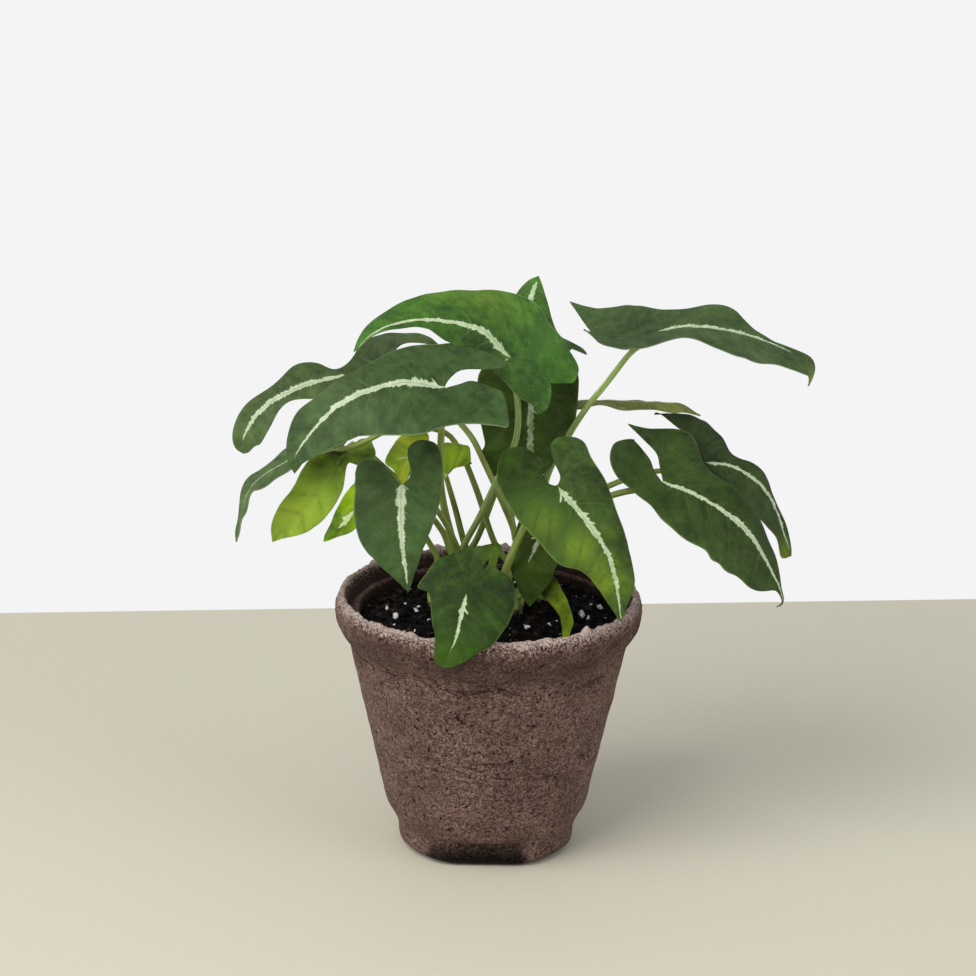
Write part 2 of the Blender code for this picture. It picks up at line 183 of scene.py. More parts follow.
# %% [markdown]
# ## The pot
# The pot is pressed from wet wood and peat pulp, so its wall is a lathe shape
# that nobody finished by hand: small lumps, pits where a fibre pulled out, a
# few creases where the mat folded in the mould, and a ragged rim. A spin of
# the profile would give the same wall, but a disc that is extruded ring by
# ring, up the outside, over the rim and down the inside, also closes the
# bottom. The rings come from the pot's own profile.

# %% The pot's profile
POT_SIDES = 136
RING_STEP = 2.6
POT_PROFILE = [  # radius and height, from the foot over the rim and down inside
    (30.5, 0), (32.5, 2.5), (32.7, 8), (34.3, 12), (37.2, 17), (38.3, 21), (50.9, 77),
    (51.9, 81), (54.3, 84), (56.4, 88), (56.9, 93), (56, 96.5), (54.4, 98), (53.1, 97.4),
    (52.3, 94), (51.2, 91.4), (50.0, 91.2), (49.0, 92.3), (48.1, 92.2), (47.7, 90), (47.4, 76),
    (34.8, 21.5), (31, 13), (29, 6), (27, 4),
]


def stepped(profile, step):
    """The profile with points added, about a step apart on its long stretches."""
    points = [profile[0]]
    for start, end in zip(profile, profile[1:]):
        pieces = max(1, round(math.dist(start, end) / step))
        points += [tuple(a + (b - a) * share / pieces for a, b in zip(start, end))
                   for share in range(1, pieces + 1)]
    return points


def lift_rings(points):
    """Extrude the selected disc through (radius, height) points, in edit mode."""
    for (radius, height), (wider, higher) in zip(points, points[1:]):
        bpy.ops.mesh.extrude_region_move(
            TRANSFORM_OT_translate={"value": (0, 0, (higher - height) * MM)})
        bpy.ops.transform.resize(value=(wider / radius, wider / radius, 1),
                                 center_override=(0, 0, higher * MM))


rings = stepped(POT_PROFILE, RING_STEP)
bpy.ops.mesh.primitive_circle_add(vertices=POT_SIDES, radius=rings[0][0] * MM,
                                  fill_type="NGON", location=(0, 0, 0))
pot = bpy.context.object
pot.name = "fibre_pot"
bpy.ops.object.mode_set(mode="EDIT")
bpy.ops.mesh.select_all(action="SELECT")
bpy.ops.mesh.flip_normals()
lift_rings(rings)
bpy.ops.mesh.select_all(action="SELECT")
bpy.ops.mesh.normals_make_consistent(inside=False)
bpy.ops.object.mode_set(mode="OBJECT")
smooth = pot.modifiers.new("smooth", "SUBSURF")
smooth.levels = smooth.render_levels = 1
bpy.ops.object.modifier_apply(modifier="smooth")
print("pot faces:", len(pot.data.polygons))

# %% [markdown]
# A lathe shape is too perfect, so every point is pushed along its normal by
# the lumps and creases that pressing leaves. Noise is read in millimetres, so
# its scale is the real size of a lump. The rim gets the most, because the mat
# tears there when the pot is pulled off its mould.

# %% Lumps, creases and the torn rim
LUMPS = ((0.30, 11, 1.6), (0.12, 3.2, 1.0))  # push, width, and width over height
RIM_LUMPS = ((0.45, 2.6), (0.35, 1.2))  # push and width
RIM_RISES = ((0.50, 5.0, 7), (0.50, 1.7, 31))  # lift, width, and the layer of noise
RIM_FROM, RIM_BLEND = 90.0, 5.0
CREASE_HALF, CREASE_WANDER = 0.8, 1.5
STANDING_RING = 2.0  # below this the pot stays true, so that it stands flat
CREASES = [  # height, depth, start and end bearing in degrees
    (81.0, 0.35, 215, 330), (78.2, 0.22, 240, 345), (75.0, 0.16, 265, 335), (45.0, 0.22, 235, 310),
    (41.5, 0.26, 250, 300), (38.0, 0.16, 245, 325), (34.5, 0.14, 262, 300), (60.0, 0.12, 280, 330),
    (79.5, 0.30, 20, 160), (44.0, 0.22, 40, 130), (52.0, 0.14, 100, 190),
]
NUBS = [  # x, y, height and half width of the tufts that the torn rim keeps
    (35.5, -41.0, 2.2, 1.7), (53.2, -7.0, 1.6, 1.5), (47.0, -24.0, 1.0, 1.8),
    (-44.0, 33.0, 1.2, 1.6), (-20.0, 51.0, 1.6, 1.8), (6.0, 54.5, 1.8, 1.6),
    (12.0, 53.0, 1.2, 1.2), (-52.0, 13.0, 0.9, 1.5), (30.0, 46.0, 1.2, 2.0),
    (-28.0, -46.5, 0.8, 1.6), (2.0, -54.5, 0.7, 1.5), (50.0, 18.0, 1.0, 1.4),
]


def fibre_push(spot):
    """Millimetres to push a point of the pot outwards, and to lift it."""
    x, y, height = spot
    bearing = math.degrees(math.atan2(y, x)) % 360
    push = sum(amount * noise.noise(Vector((x, y, height * flatter)) / width)
               for amount, width, flatter in LUMPS)
    for middle, depth, start, end in CREASES:
        if start < bearing < end:
            wander = CREASE_WANDER * noise.noise(Vector((bearing / 14, middle, 0)))
            fade = math.sin(math.pi * (bearing - start) / (end - start)) ** 0.5
            push -= depth * fade * math.exp(-((height - middle - wander) / CREASE_HALF) ** 2)
    lift = 0.0
    if height > RIM_FROM:
        share = min(1.0, (height - RIM_FROM) / RIM_BLEND)
        for amount, width in RIM_LUMPS:
            push += amount * share * noise.noise(Vector((x, y, height)) / width)
        lift = share * sum(amount * noise.noise(Vector((x, y, layer)) / width)
                           for amount, width, layer in RIM_RISES)
        for nub_x, nub_y, tall, wide in NUBS:
            lift += share * tall * math.exp(-((x - nub_x) ** 2 + (y - nub_y) ** 2) / wide ** 2)
    return push * min(1.0, height / STANDING_RING), lift


print("creases and nubs:", len(CREASES), len(NUBS))

# %% [markdown]
# The front of the foot gave way while the pulp was wet, so it is flatter than
# the rest. Pressing its points back behind a plane keeps the wall's thickness,
# as long as the wall's inner face is held behind a plane of its own.

# %% The pressed foot
FOOT_FLAT = -27.9  # how far out the flattened front of the foot stays
FOOT_HEIGHT, FOOT_BLEND = 12.0, 2.5
FOOT_WALL = 3.0
FOOT_MIDDLE = 31.6  # a radius between the two faces of the foot's wall


def flatten(point, front):
    """Press a point of the foot back behind front, less and less upwards."""
    share = min(1.0, (FOOT_HEIGHT - point.co.z / MM) / FOOT_BLEND)
    if share > 0 and point.co.y < front * MM:
        point.co.y += (front * MM - point.co.y) * share


normals = [point.normal.copy() for point in pot.data.vertices]
for point, normal in zip(pot.data.vertices, normals):
    inside = point.co.z > FOOT_WALL * MM and math.hypot(point.co.x, point.co.y) < FOOT_MIDDLE * MM
    push, lift = fibre_push(point.co / MM)
    point.co += (normal * push + Vector((0, 0, lift))) * MM
    flatten(point, FOOT_FLAT + FOOT_WALL * inside)
bpy.ops.object.shade_smooth()
print("pot height, mm:", round(max(point.co.z for point in pot.data.vertices) / MM, 1))

# %% [markdown]
# Moulded pulp is dyed wood fibre that was pressed wet and dried. Up close it is
# a felt of curled dark and light fibres, a millimetre or two long, with pits
# and thin folds that are painted dark, as painted shade. A curled fibre is the
# level line of warped noise: where the noise passes its middle value. The real
# fibres are finer than these, which are drawn as coarse as they need to be to show.

# %% Fibres and folds
FIBRES = ((0.7, 0.36), (-0.9, 0.50))  # turn of a set, and its noise's waves per mm
FOLD_BANDS = ((79.0, 0.95), (42.0, 0.8))  # height, and how strong the folds are there


def felted_fibres(tree, spot):
    """How light the felt is, 0 to 1, and the finer grain in it."""
    felt = 1.0
    for turn, scale in FIBRES:
        turned = add(tree, "Mapping", {"Vector": spot, "Rotation": (turn, turn, 0)})[0]
        curl = add(tree, "TexNoise", {"Vector": turned, "Scale": scale, "Detail": 1.0,
                                      "Distortion": 1.6})["Fac"]
        curl = add(tree, "Math", (curl, 0.5), operation="SUBTRACT")[0]
        curl = add(tree, "Math", [curl], operation="ABSOLUTE")[0]
        curl = add(tree, "MapRange", (curl, 0.010, 0.075))[0]
        felt = add(tree, "Math", (curl, felt), operation="MULTIPLY")[0]
    grain = add(tree, "TexNoise", {"Vector": spot, "Scale": 0.95, "Detail": 2.0,
                                   "Roughness": 0.7})["Fac"]
    grain = add(tree, "MapRange", (grain, 0.36, 0.64))[0]
    return add(tree, "Mix", {0: 0.38, 2: felt, 3: grain})[0], grain


def pressed_folds(tree, spot, height):
    """A mask of thin folds round the wall, under the lip and near its middle; the finish paints them
    dark, as painted shade, and dents them.
    """
    flattened = add(tree, "Mapping", {"Vector": spot, "Scale": (1, 1, 5)})[0]
    folds = add(tree, "TexNoise", {"Vector": flattened, "Scale": 0.05, "Detail": 1.2,
                                   "Distortion": 1.0})["Fac"]
    folds = add(tree, "Math", (folds, 0.5), operation="SUBTRACT")[0]
    folds = add(tree, "Math", [folds], operation="ABSOLUTE")[0]
    folds = add(tree, "MapRange", (folds, 0.0, 0.03, 1.0, 0.0))[0]
    bands = 0.0
    for middle, most in FOLD_BANDS:
        away = add(tree, "Math", (height, middle), operation="SUBTRACT")[0]
        away = add(tree, "Math", [away], operation="ABSOLUTE")[0]
        away = add(tree, "MapRange", (away, 3.0, 9.0, most, 0.0))[0]
        bands = add(tree, "Math", (away, bands), operation="MAXIMUM")[0]
    return add(tree, "Math", (folds, bands), operation="MULTIPLY")[0]


print("sets of fibres, bands of folds:", len(FIBRES), len(FOLD_BANDS))

# %% [markdown]
# Water leaves its mark on such a pot. The foot that stood in a puddle has dried
# dark, most of all on its flattened front, with an edge that wanders with the
# fibres. The stain is a product of ramps: sideways, upwards and to the front.
# Round its lowest few millimetres the foot is also painted darker all round,
# as painted shade where it meets the table.

# %% The stain on the foot
def foot_stain_and_shade(tree, place, clouds, grain):
    """How dark the foot is, 0 to 1, at a place (x, y, height): the water stain, and painted shade along
    its lowest edge.
    """
    x, y, height = place
    edge = add(tree, "Math", (height, -0.35, 17.5), operation="MULTIPLY_ADD")[0]
    edge = add(tree, "Math", (clouds, 6.0, edge), operation="MULTIPLY_ADD")[0]
    sideways = add(tree, "Math", (x, 3.0), operation="ADD")[0]
    sideways = add(tree, "Math", [sideways], operation="ABSOLUTE")[0]
    edge = add(tree, "Math", (edge, sideways), operation="SUBTRACT")[0]
    stain = add(tree, "MapRange", (edge, -1.0, 2.5))[0]
    ragged = add(tree, "Math", (grain, 2.0, height), operation="MULTIPLY_ADD")[0]
    for part in (add(tree, "MapRange", (y, -24.0, -21.0, 1.0, 0.0))[0],
                 add(tree, "MapRange", (ragged, 9.0, 12.5, 1.0, 0.0))[0],
                 add(tree, "MapRange", (ragged, 4.0, 10.0, 1.0, 0.6))[0]):
        stain = add(tree, "Math", (stain, part), operation="MULTIPLY")[0]
    # Painted shade: the lowest few millimetres are darkened all round, where the foot meets the table.
    contact_shade = add(tree, "MapRange", (ragged, 0.5, 5.0, 0.5, 0.0))[0]
    return add(tree, "Math", (stain, contact_shade), operation="MAXIMUM")[0]


print("stain helper:", foot_stain_and_shade.__name__)

# %% [markdown]
# The whole finish is quite matt, with a pale fuzz that catches light at the
# edges, which is what sheen is for. The rim is paler towards its torn crest.
# The wall under the lip is painted darker, as painted shade under the
# overhang, and the inside is the same pulp painted darker, as painted shade
# in the hollow of the pot.

# %% The moulded-fibre finish
def pulp_finish(name, dark, light, pale_rim):
    """Felted pulp between two browns, with a paler rim."""
    made, tree, shader = new_finish(name, 0.92)
    shader.inputs["Specular IOR Level"].default_value = 0.15
    shader.inputs["Sheen Weight"].default_value = 0.17
    shader.inputs["Sheen Roughness"].default_value = 0.4
    shader.inputs["Sheen Tint"].default_value = linear("#b79a8a")
    spot = add(tree, "TexCoord")["Object"]
    spot = add(tree, "VectorMath", (spot, (1 / MM,) * 3), operation="MULTIPLY")[0]
    place = add(tree, "SeparateXYZ", [spot])
    height = place["Z"]
    felt, grain = felted_fibres(tree, spot)
    folds = pressed_folds(tree, spot, height)
    clouds = add(tree, "TexNoise", {"Vector": spot, "Scale": 0.06, "Detail": 3.0,
                                    "Roughness": 0.6})["Fac"]
    cloudy = add(tree, "MapRange", (clouds, 0.42, 0.66, 0.0, 0.30))[0]
    # Painted shade: the pits are painted dark, as the shade inside them.
    pits = add(tree, "TexNoise", {"Vector": spot, "Scale": 0.50, "Detail": 2.0,
                                  "Roughness": 0.4})["Fac"]
    pits = add(tree, "MapRange", (pits, 0.66, 0.70))[0]
    # Painted shade: the face under the crest, where the lip overhangs it, is painted darker.
    above_wall = add(tree, "MapRange", (height, 74.0, 86.0))[0]
    below_crest = add(tree, "MapRange", (height, 91.0, 94.5, 1.0, 0.0))[0]
    shade_under_lip = add(tree, "MapRange", (clouds, 0.35, 0.6, 0.30, 0.62))[0]
    for part in (above_wall, below_crest):
        shade_under_lip = add(tree, "Math", (shade_under_lip, part), operation="MULTIPLY")[0]
    rim = add(tree, "Math", (felt, 4.0, height), operation="MULTIPLY_ADD")[0]
    rim = add(tree, "MapRange", (rim, 96.4, 101.2, 0.0, 0.95))[0]
    # The foot's darkening: its water stain, and painted shade along its lowest edge.
    stain = foot_stain_and_shade(tree, place, clouds, grain)

    body = linear(dark)
    # Painted shade: folds and pits are mixed towards dark browns where shade falls in them.
    for colour, amount in ((light, felt), (dark, cloudy), ("#2c1c18", shade_under_lip),
                           ("#2a1610", folds), ("#1e1210", pits), (pale_rim, rim),
                           ("#070302", stain)):
        body = add(tree, "Mix", {0: amount, 6: body, 7: linear(colour)}, data_type="RGBA")[2]
    tree.links.new(body, shader.inputs["Base Color"])
    relief = add(tree, "Math", (folds, -1.5, felt), operation="MULTIPLY_ADD")[0]
    relief = add(tree, "Math", (relief, pits), operation="SUBTRACT")[0]
    bump = add(tree, "Bump", {"Height": relief, "Strength": 0.7, "Distance": 0.6 * MM})
    tree.links.new(bump[0], shader.inputs["Normal"])
    return made


RIDGE_HEIGHT, RIDGE_RADIUS = 91.4, 50.2  # the ridge inside the lip, which keeps the finish without painted shade
SHADED_BELOW = 96.5

pot.data.materials.clear()
pot.data.materials.append(pulp_finish("moulded_pulp", "#2e1a15", "#90766b", "#cdb9ad"))
# The inside takes a darker copy of the pulp: painted shade in the hollow of the pot.
pot.data.materials.append(pulp_finish("shaded_moulded_pulp", "#180e0b", "#4a362f", "#95847a"))
for face in pot.data.polygons:
    inward = face.normal.x * face.center.x + face.normal.y * face.center.y < 0
    around = math.hypot(face.center.x, face.center.y)
    on_ridge = face.center.z > RIDGE_HEIGHT * MM and around < RIDGE_RADIUS * MM
    face.material_index = int(inward and face.center.z < SHADED_BELOW * MM and not on_ridge)
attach(pot, "root")
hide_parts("pot")
print("finishes on the pot:", [item.name for item in pot.data.materials])

# %% [markdown]
# ## The potting mix
# Nursery mix is dark peat and bark crumbs with white perlite, which is popped
# volcanic glass. The bed under the loose crumbs is one solid, extruded from a
# disc like the pot. Its top is raised and lowered by noise as wide as the
# clods, and it dips a little towards the wall, where water is poured.

# %% The bed
MIX_SIDES = 72
MIX_PROFILE = [(26.8, 4.3), (28.6, 6.2), (30.6, 13.1), (34.2, 21.7), (46.8, 76.1), (47.7, 87.2),
               (47.0, 88.6), (44.0, 89.2), (36.0, 89.6), (28.0, 90.0), (20.0, 90.0), (12.0, 90.0),
               (5.0, 90.0)]
MIX_SHOULDER = 87.0  # the surface starts above this height
MIX_TOP, MIX_RADIUS, MIX_DIP = 89.9, 47, 1.2
MIX_CLEARANCE = 0.5  # between the mix and the pressed front of the foot
CLODS = ((1.1, 9, 3), (0.7, 3, 9))  # height, width, and the layer of noise

bpy.ops.mesh.primitive_circle_add(vertices=MIX_SIDES, radius=MIX_PROFILE[0][0] * MM,
                                  fill_type="NGON", location=(0, 0, MIX_PROFILE[0][1] * MM))
bed = bpy.context.object
bed.name = "potting_mix_bed"
bpy.ops.object.mode_set(mode="EDIT")
bpy.ops.mesh.select_all(action="SELECT")
bpy.ops.mesh.flip_normals()
lift_rings(MIX_PROFILE)
bpy.ops.mesh.select_all(action="SELECT")
bpy.ops.mesh.normals_make_consistent(inside=False)
bpy.ops.object.mode_set(mode="OBJECT")
bpy.ops.object.transform_apply()
rough = bed.modifiers.new("rough", "SUBSURF")
rough.levels = rough.render_levels = 2
bpy.ops.object.modifier_apply(modifier="rough")


def mix_height(x, y):
    """The height of the mix's surface: clods, and a dip towards the wall."""
    clods = sum(tall * noise.noise(Vector((x, y, layer)) / width) for tall, width, layer in CLODS)
    away = math.hypot(x, y)
    return MIX_TOP + clods - MIX_DIP * (away / MIX_RADIUS) ** 3


for point in bed.data.vertices:
    flatten(point, FOOT_FLAT + FOOT_WALL + MIX_CLEARANCE)
    if point.co.z > MIX_SHOULDER * MM:
        place = point.co / MM
        point.co.z = mix_height(place.x, place.y) * MM
bpy.ops.object.shade_smooth()
print("bed faces:", len(bed.data.polygons))

# %% [markdown]
# Loose crumbs lie on the bed by the thousand, most of them small. One faceted
# crumb is modelled from an icosphere. Its copies are turned, stretched and
# dented by chance, and they go into one mesh in a single call, because
# thousands of operators would take minutes. The seed makes every run strew alike.

# %% Strewing crumbs
random.seed(11)
STREWN_RADIUS = 46.4


def crumb_mesh():
    """One faceted crumb, 1 mm across."""
    bpy.ops.mesh.primitive_ico_sphere_add(subdivisions=1, radius=0.5 * MM, location=(0, 0, 0))
    item = bpy.context.object
    points = np.array([tuple(point.co) for point in item.data.vertices])
    faces = np.array([tuple(face.vertices) for face in item.data.polygons])
    bpy.data.objects.remove(item)
    return points, faces


CRUMB_POINTS, CRUMB_FACES = crumb_mesh()


def strewn(name, spots, finish):
    """Copies of the crumb, each (x, y, z, length, width, height), as one mesh."""
    points, faces = [], []
    for x, y, z, *sizes in spots:
        turn = Matrix.Rotation(random.uniform(0, 6.28), 3, Vector(
            (random.uniform(-1, 1), random.uniform(-1, 1), random.uniform(0.2, 1))).normalized())
        jitter = np.array([[random.uniform(0.75, 1.25)] for _ in CRUMB_POINTS])
        shaped = (CRUMB_POINTS * jitter * sizes) @ np.array(turn).T
        faces.append(CRUMB_FACES + len(points) * len(CRUMB_POINTS))
        points.append(shaped + np.array([x, y, z]) * MM)
    mesh = bpy.data.meshes.new(name)
    mesh.from_pydata(np.vstack(points).tolist(), [], np.vstack(faces).tolist())
    mesh.materials.append(finish)
    made = bpy.data.objects.new(name, mesh)
    bpy.context.scene.collection.objects.link(made)
    return made


def over_bed(count, smallest, largest, sink):
    """Random places on the bed with sizes, flatter than they are long."""
    spots = []
    while len(spots) < count:
        x, y = [random.uniform(-MIX_RADIUS, MIX_RADIUS) for _ in range(2)]
        if math.hypot(x, y) < STREWN_RADIUS:
            long = smallest + (largest - smallest) * random.random() ** 2.5
            spots.append((x, y, mix_height(x, y) + long * sink, long,
                          long * random.uniform(0.5, 0.9), long * random.uniform(0.35, 0.7)))
    return spots


print("points and faces of one crumb:", len(CRUMB_POINTS), len(CRUMB_FACES))

# %% [markdown]
# Damp peat is almost black and has no shine. Bark crumbs are browner where they
# broke. Perlite is chalk white, and its hollows are painted grey, as painted
# shade. All three are matt and crumbly, so one recipe serves them, with the size
# of their grit in millimetres.

# %% Bark, peat and perlite
def crumb_finish(name, dark, light, grit, low, high):
    """A matt, crumbly solid between two colours, with grit of a size in mm."""
    made, tree, shader = new_finish(name, 0.9)
    shader.inputs["Specular IOR Level"].default_value = 0.15
    spot = add(tree, "TexCoord")["Object"]
    grain = add(tree, "TexNoise", {"Vector": spot, "Scale": 1 / (grit * MM), "Detail": 2.0})["Fac"]
    # The colour follows the grain that the bumps follow, so the dips are painted darker: painted shade
    # in the hollows.
    shade = add(tree, "MapRange", (grain, low, high))[0]
    body = add(tree, "Mix", {0: shade, 6: linear(dark), 7: linear(light)}, data_type="RGBA")[2]
    tree.links.new(body, shader.inputs["Base Color"])
    bump = add(tree, "Bump", {"Height": grain, "Strength": 0.8, "Distance": 0.8 * MM})
    tree.links.new(bump[0], shader.inputs["Normal"])
    return made


mix = crumb_finish("damp_peat", "#030202", "#120b09", 1.4, 0.35, 0.7)
bark = crumb_finish("bark_crumb", "#060403", "#4a382d", 3.8, 0.52, 0.76)
perlite = crumb_finish("popped_perlite", "#8f8c88", "#ffffff", 2.0, 0.2, 0.8)

PERLITE = [  # x, y and size of the larger beads
    (-37.8, 3.8, 2.2), (-34.2, -6.0, 3.0), (-26.9, -0.2, 2.4), (-26.0, 3.5, 1.6), (-31.0, 9.0, 1.5),
    (14.1, -18.3, 2.6), (13.0, -15.5, 1.8), (22.2, -13.6, 2.6), (34.5, -2.0, 4.2), (36.5, -4.5, 2.2),
    (41.3, 7.2, 2.4), (38.0, 12.0, 1.4), (-22.0, -8.0, 1.5), (-17.0, -9.0, 1.8), (-20.0, -14.0, 1.6),
    (27.0, 24.0, 2.0), (10.0, 33.0, 2.6), (-14.0, 30.0, 2.2), (-30.0, 24.0, 1.9), (5.0, 40.0, 1.6),
    (-5.0, -33.0, 1.7), (-18.0, -38.0, 2.0), (24.0, -35.0, 1.6),
]
bed.data.materials.append(mix)
beads = [(x, y, mix_height(x, y) + size * 0.25, size, size * 0.85, size * 0.7)
         for x, y, size in PERLITE] + over_bed(46, 0.5, 1.4, 0.2)
pieces = [bed, strewn("bark_crumbs", over_bed(2300, 0.8, 3.6, 0.12), bark),
          strewn("perlite_beads", beads, perlite)]
for piece in pieces:
    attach(piece, "root")
    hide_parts("potting_mix")
print("crumbs and beads:", [len(piece.data.polygons) for piece in pieces[1:]])

# %% [markdown]
# ## The leaves
# A leaf of this vine is an arrowhead: a blade in front of the hub, where the
# stalk joins, and two lobes behind it. No primitive has that outline, and no
# bend tool follows a midrib, so each half starts as a grid primitive whose
# points are laid by rule: rows run from the tip to the hub and on round the
# lobe, columns run from the midrib out to the margin. The midrib is a smooth
# line in space, and the margin is given flat, as it would be measured on a
# pressed leaf: millimetres along the rib, and millimetres away from it.

# %% Lines and directions
LINE_FINENESS = 16  # steps between two given points


def unit(vector):
    """The vector's direction, one long."""
    return vector / np.linalg.norm(vector)


def smooth_line(points, count):
    """A Catmull-Rom line through the points, cut into count even steps."""
    spots = np.array(points, float)
    ends = np.vstack([2 * spots[0] - spots[1], spots, 2 * spots[-1] - spots[-2]])
    share = np.linspace(0, 1, LINE_FINENESS, endpoint=False)[:, None]
    fine = [
        start + share * (end - before) / 2
        + share ** 2 * (2 * before - 5 * start + 4 * end - after) / 2
        + share ** 3 * (3 * start - before - 3 * end + after) / 2
        for before, start, end, after in zip(ends, ends[1:], ends[2:], ends[3:])
    ]
    fine = np.vstack(fine + [spots[-1:]])
    run = np.concatenate([[0], np.cumsum(np.linalg.norm(np.diff(fine, axis=0), axis=1))])
    steps = np.linspace(0, run[-1], count + 1)
    line = [np.interp(steps, run, fine[:, axis]) for axis in range(fine.shape[1])]
    return np.array(line).T, run[-1]


print("a bend through (0, 0), (7, 3) and (10, 10) is, mm:",
      round(smooth_line([(0, 0), (7, 3), (10, 10)], 8)[1], 2))

# %% [markdown]
# A blade also has a pose. Each half slopes off the rib like a roof, arches
# over, and ends in a lobe that turns down behind the hub; the whole blade may
# twist towards its tip. Between the lateral veins the tissue bulges a little,
# and the margin ripples. One class keeps all that one blade needs, so that the
# mesh and its colours read the same outline.

# %% The blade
RIB_STEPS = 48
VEIN_SPACING = 9.0
VEIN_SWEEP = 0.75
VEIN_CURVE, VEIN_START = 0.03, 0.3  # how a vein bends on its way out
LOBE_VEIN_TURN = 24  # degrees between the veins that fan out round the hub
QUILT = 0.26
RIB_CHANNEL, CHANNEL_HALF = 0.35, 1.1
RIPPLES = 3  # waves of the margin, from the tip to the end of the lobe
ARCHED_OVER = 24  # millimetres from the rib over which bend is measured
SHORTEST_LOBE = 6.0


class Blade:
    """An arrow-shaped blade: midrib from hub to tip, and a margin for each half.

    face: where the upper side looks at the hub. left, right: the margin as
    (along, across), from near the tip round to the end of the lobe. slope:
    rise off the rib in degrees, left hub, left tip, right hub, right tip.
    drop: how far each lobe turns down; bend: how far each half arches over;
    twist: turn of the tip against the hub; notch: points of the edge between
    hub and lobe end. wave and fray: how far the margin ripples and is bitten
    into. stripe: the pale rib as (share of the rib, half width). tints: (kind,
    along, across, radius, amount); a dark tint is painted shade, and a fresh
    tint is fresh green that on the fading leaves is painted light coming
    through. tone: how much more red, green and blue this leaf shows than its
    age's green, partly its own colour and partly painted light and shade.
    """

    def __init__(self, midrib, face, left, right, slope, drop=(0, 0), bend=(-10, -10), twist=0,
                 notch=(None, None), wave=0.8, fray=0.0, stripe=((0, 0), (1, 0)), tints=(),
                 tone=(1, 1, 1)):
        self.rib, self.length = smooth_line(midrib, RIB_STEPS)
        self.margins, self.notch, self.wave, self.fray = (left, right), notch, wave, fray
        self.slope, self.drop, self.bend = np.radians([slope[:2], slope[2:]]), drop, bend
        self.stripe, self.tints, self.tone = np.array(stripe, float), tints, tone
        along = np.gradient(self.rib, axis=0)
        self.along = along / np.linalg.norm(along, axis=1)[:, None]
        ups = [unit(np.array(face, float) - np.dot(face, self.along[0]) * self.along[0])]
        for heading in self.along[1:]:
            ups.append(unit(ups[-1] - np.dot(ups[-1], heading) * heading))
        ups = np.array(ups)
        sides = np.cross(self.along, ups)
        turn = np.radians(twist) * np.linspace(0, 1, len(ups))[:, None]
        self.up = ups * np.cos(turn) + sides * np.sin(turn)
        self.side = sides * np.cos(turn) - ups * np.sin(turn)
        self.stations = np.linspace(0, self.length, len(ups))
        self.seed = float(sum(np.abs(self.rib[-1])))

    def read(self, table, distance):
        """A row of the table, as far along the rib as distance."""
        return np.array([np.interp(distance, self.stations, table[:, axis]) for axis in range(3)])

    def vein_row(self, along, across):
        """Which lateral vein a flat point lies on: whole numbers are veins."""
        along -= VEIN_SWEEP * across * (VEIN_CURVE * across - VEIN_START)
        start = along - VEIN_SWEEP * across
        if start >= 0:
            return start / VEIN_SPACING
        first = math.degrees(math.atan2(1, VEIN_SWEEP))
        round_hub = math.degrees(math.atan2(across, along)) - first
        return -round_hub / LOBE_VEIN_TURN

    def spot(self, along, across, half, reach, margin_share):
        """The place of a flat (along, across) point on the bent blade."""
        rise, tip_rise = self.slope[half]
        if along >= 0:
            place = self.read(self.rib, along)
            up = unit(self.read(self.up, along))
            side = unit(self.read(self.side, along))
            rise = rise + (tip_rise - rise) * along / self.length
        else:
            ahead, over, side = self.along[0], self.up[0], self.side[0]
            lobe = max(SHORTEST_LOBE, -self.margins[half][-1][0])
            turn = math.radians(self.drop[half]) * -along / lobe
            if abs(turn) < 1e-4:
                place, up = self.rib[0] + ahead * along, over
            else:
                radius = -along / turn
                place = (self.rib[0] - ahead * radius * math.sin(turn)
                         - over * radius * (1 - math.cos(turn)))
                up = over * math.cos(turn) - ahead * math.sin(turn)
        arch = math.radians(self.bend[half]) / ARCHED_OVER
        if abs(arch * across) < 1e-4:
            out, lift = across * math.cos(rise), across * math.sin(rise)
        else:
            out = (math.sin(rise + arch * across) - math.sin(rise)) / arch
            lift = (math.cos(rise) - math.cos(rise + arch * across)) / arch
        ripple = math.sin(2 * RIPPLES * math.pi * margin_share + 2.1 * half)
        ripple += 0.6 * noise.noise(Vector((along / 7, across / 7, self.seed + half)))
        lift += self.wave * reach ** 2 * ripple * min(1, 4 * margin_share)
        row = self.vein_row(along, across)
        lift -= QUILT * math.cos(2 * math.pi * row) * math.sin(math.pi * reach)
        lift -= RIB_CHANNEL * math.exp(-(across / CHANNEL_HALF) ** 2) * (along > 0)
        return place + side * out * (-1, 1)[half] + up * lift


print("the veins lie, mm apart:", VEIN_SPACING)

# %% [markdown]
# Each half is laid out flat first. Its margin is smoothed and bitten into a
# little where the leaf is frayed. Every row then runs from a point of the
# midrib, or of the edge between hub and lobe, out to a point of the margin,
# and the blade's pose bends that flat row into space.

# %% Rows of a half
RIB_ROWS = 30
LOBE_ROWS = 16
BLADE_COLUMNS = 10
MARGIN_STEPS = 200
BITE = 5.5  # steps of the margin that a frayed bite is long


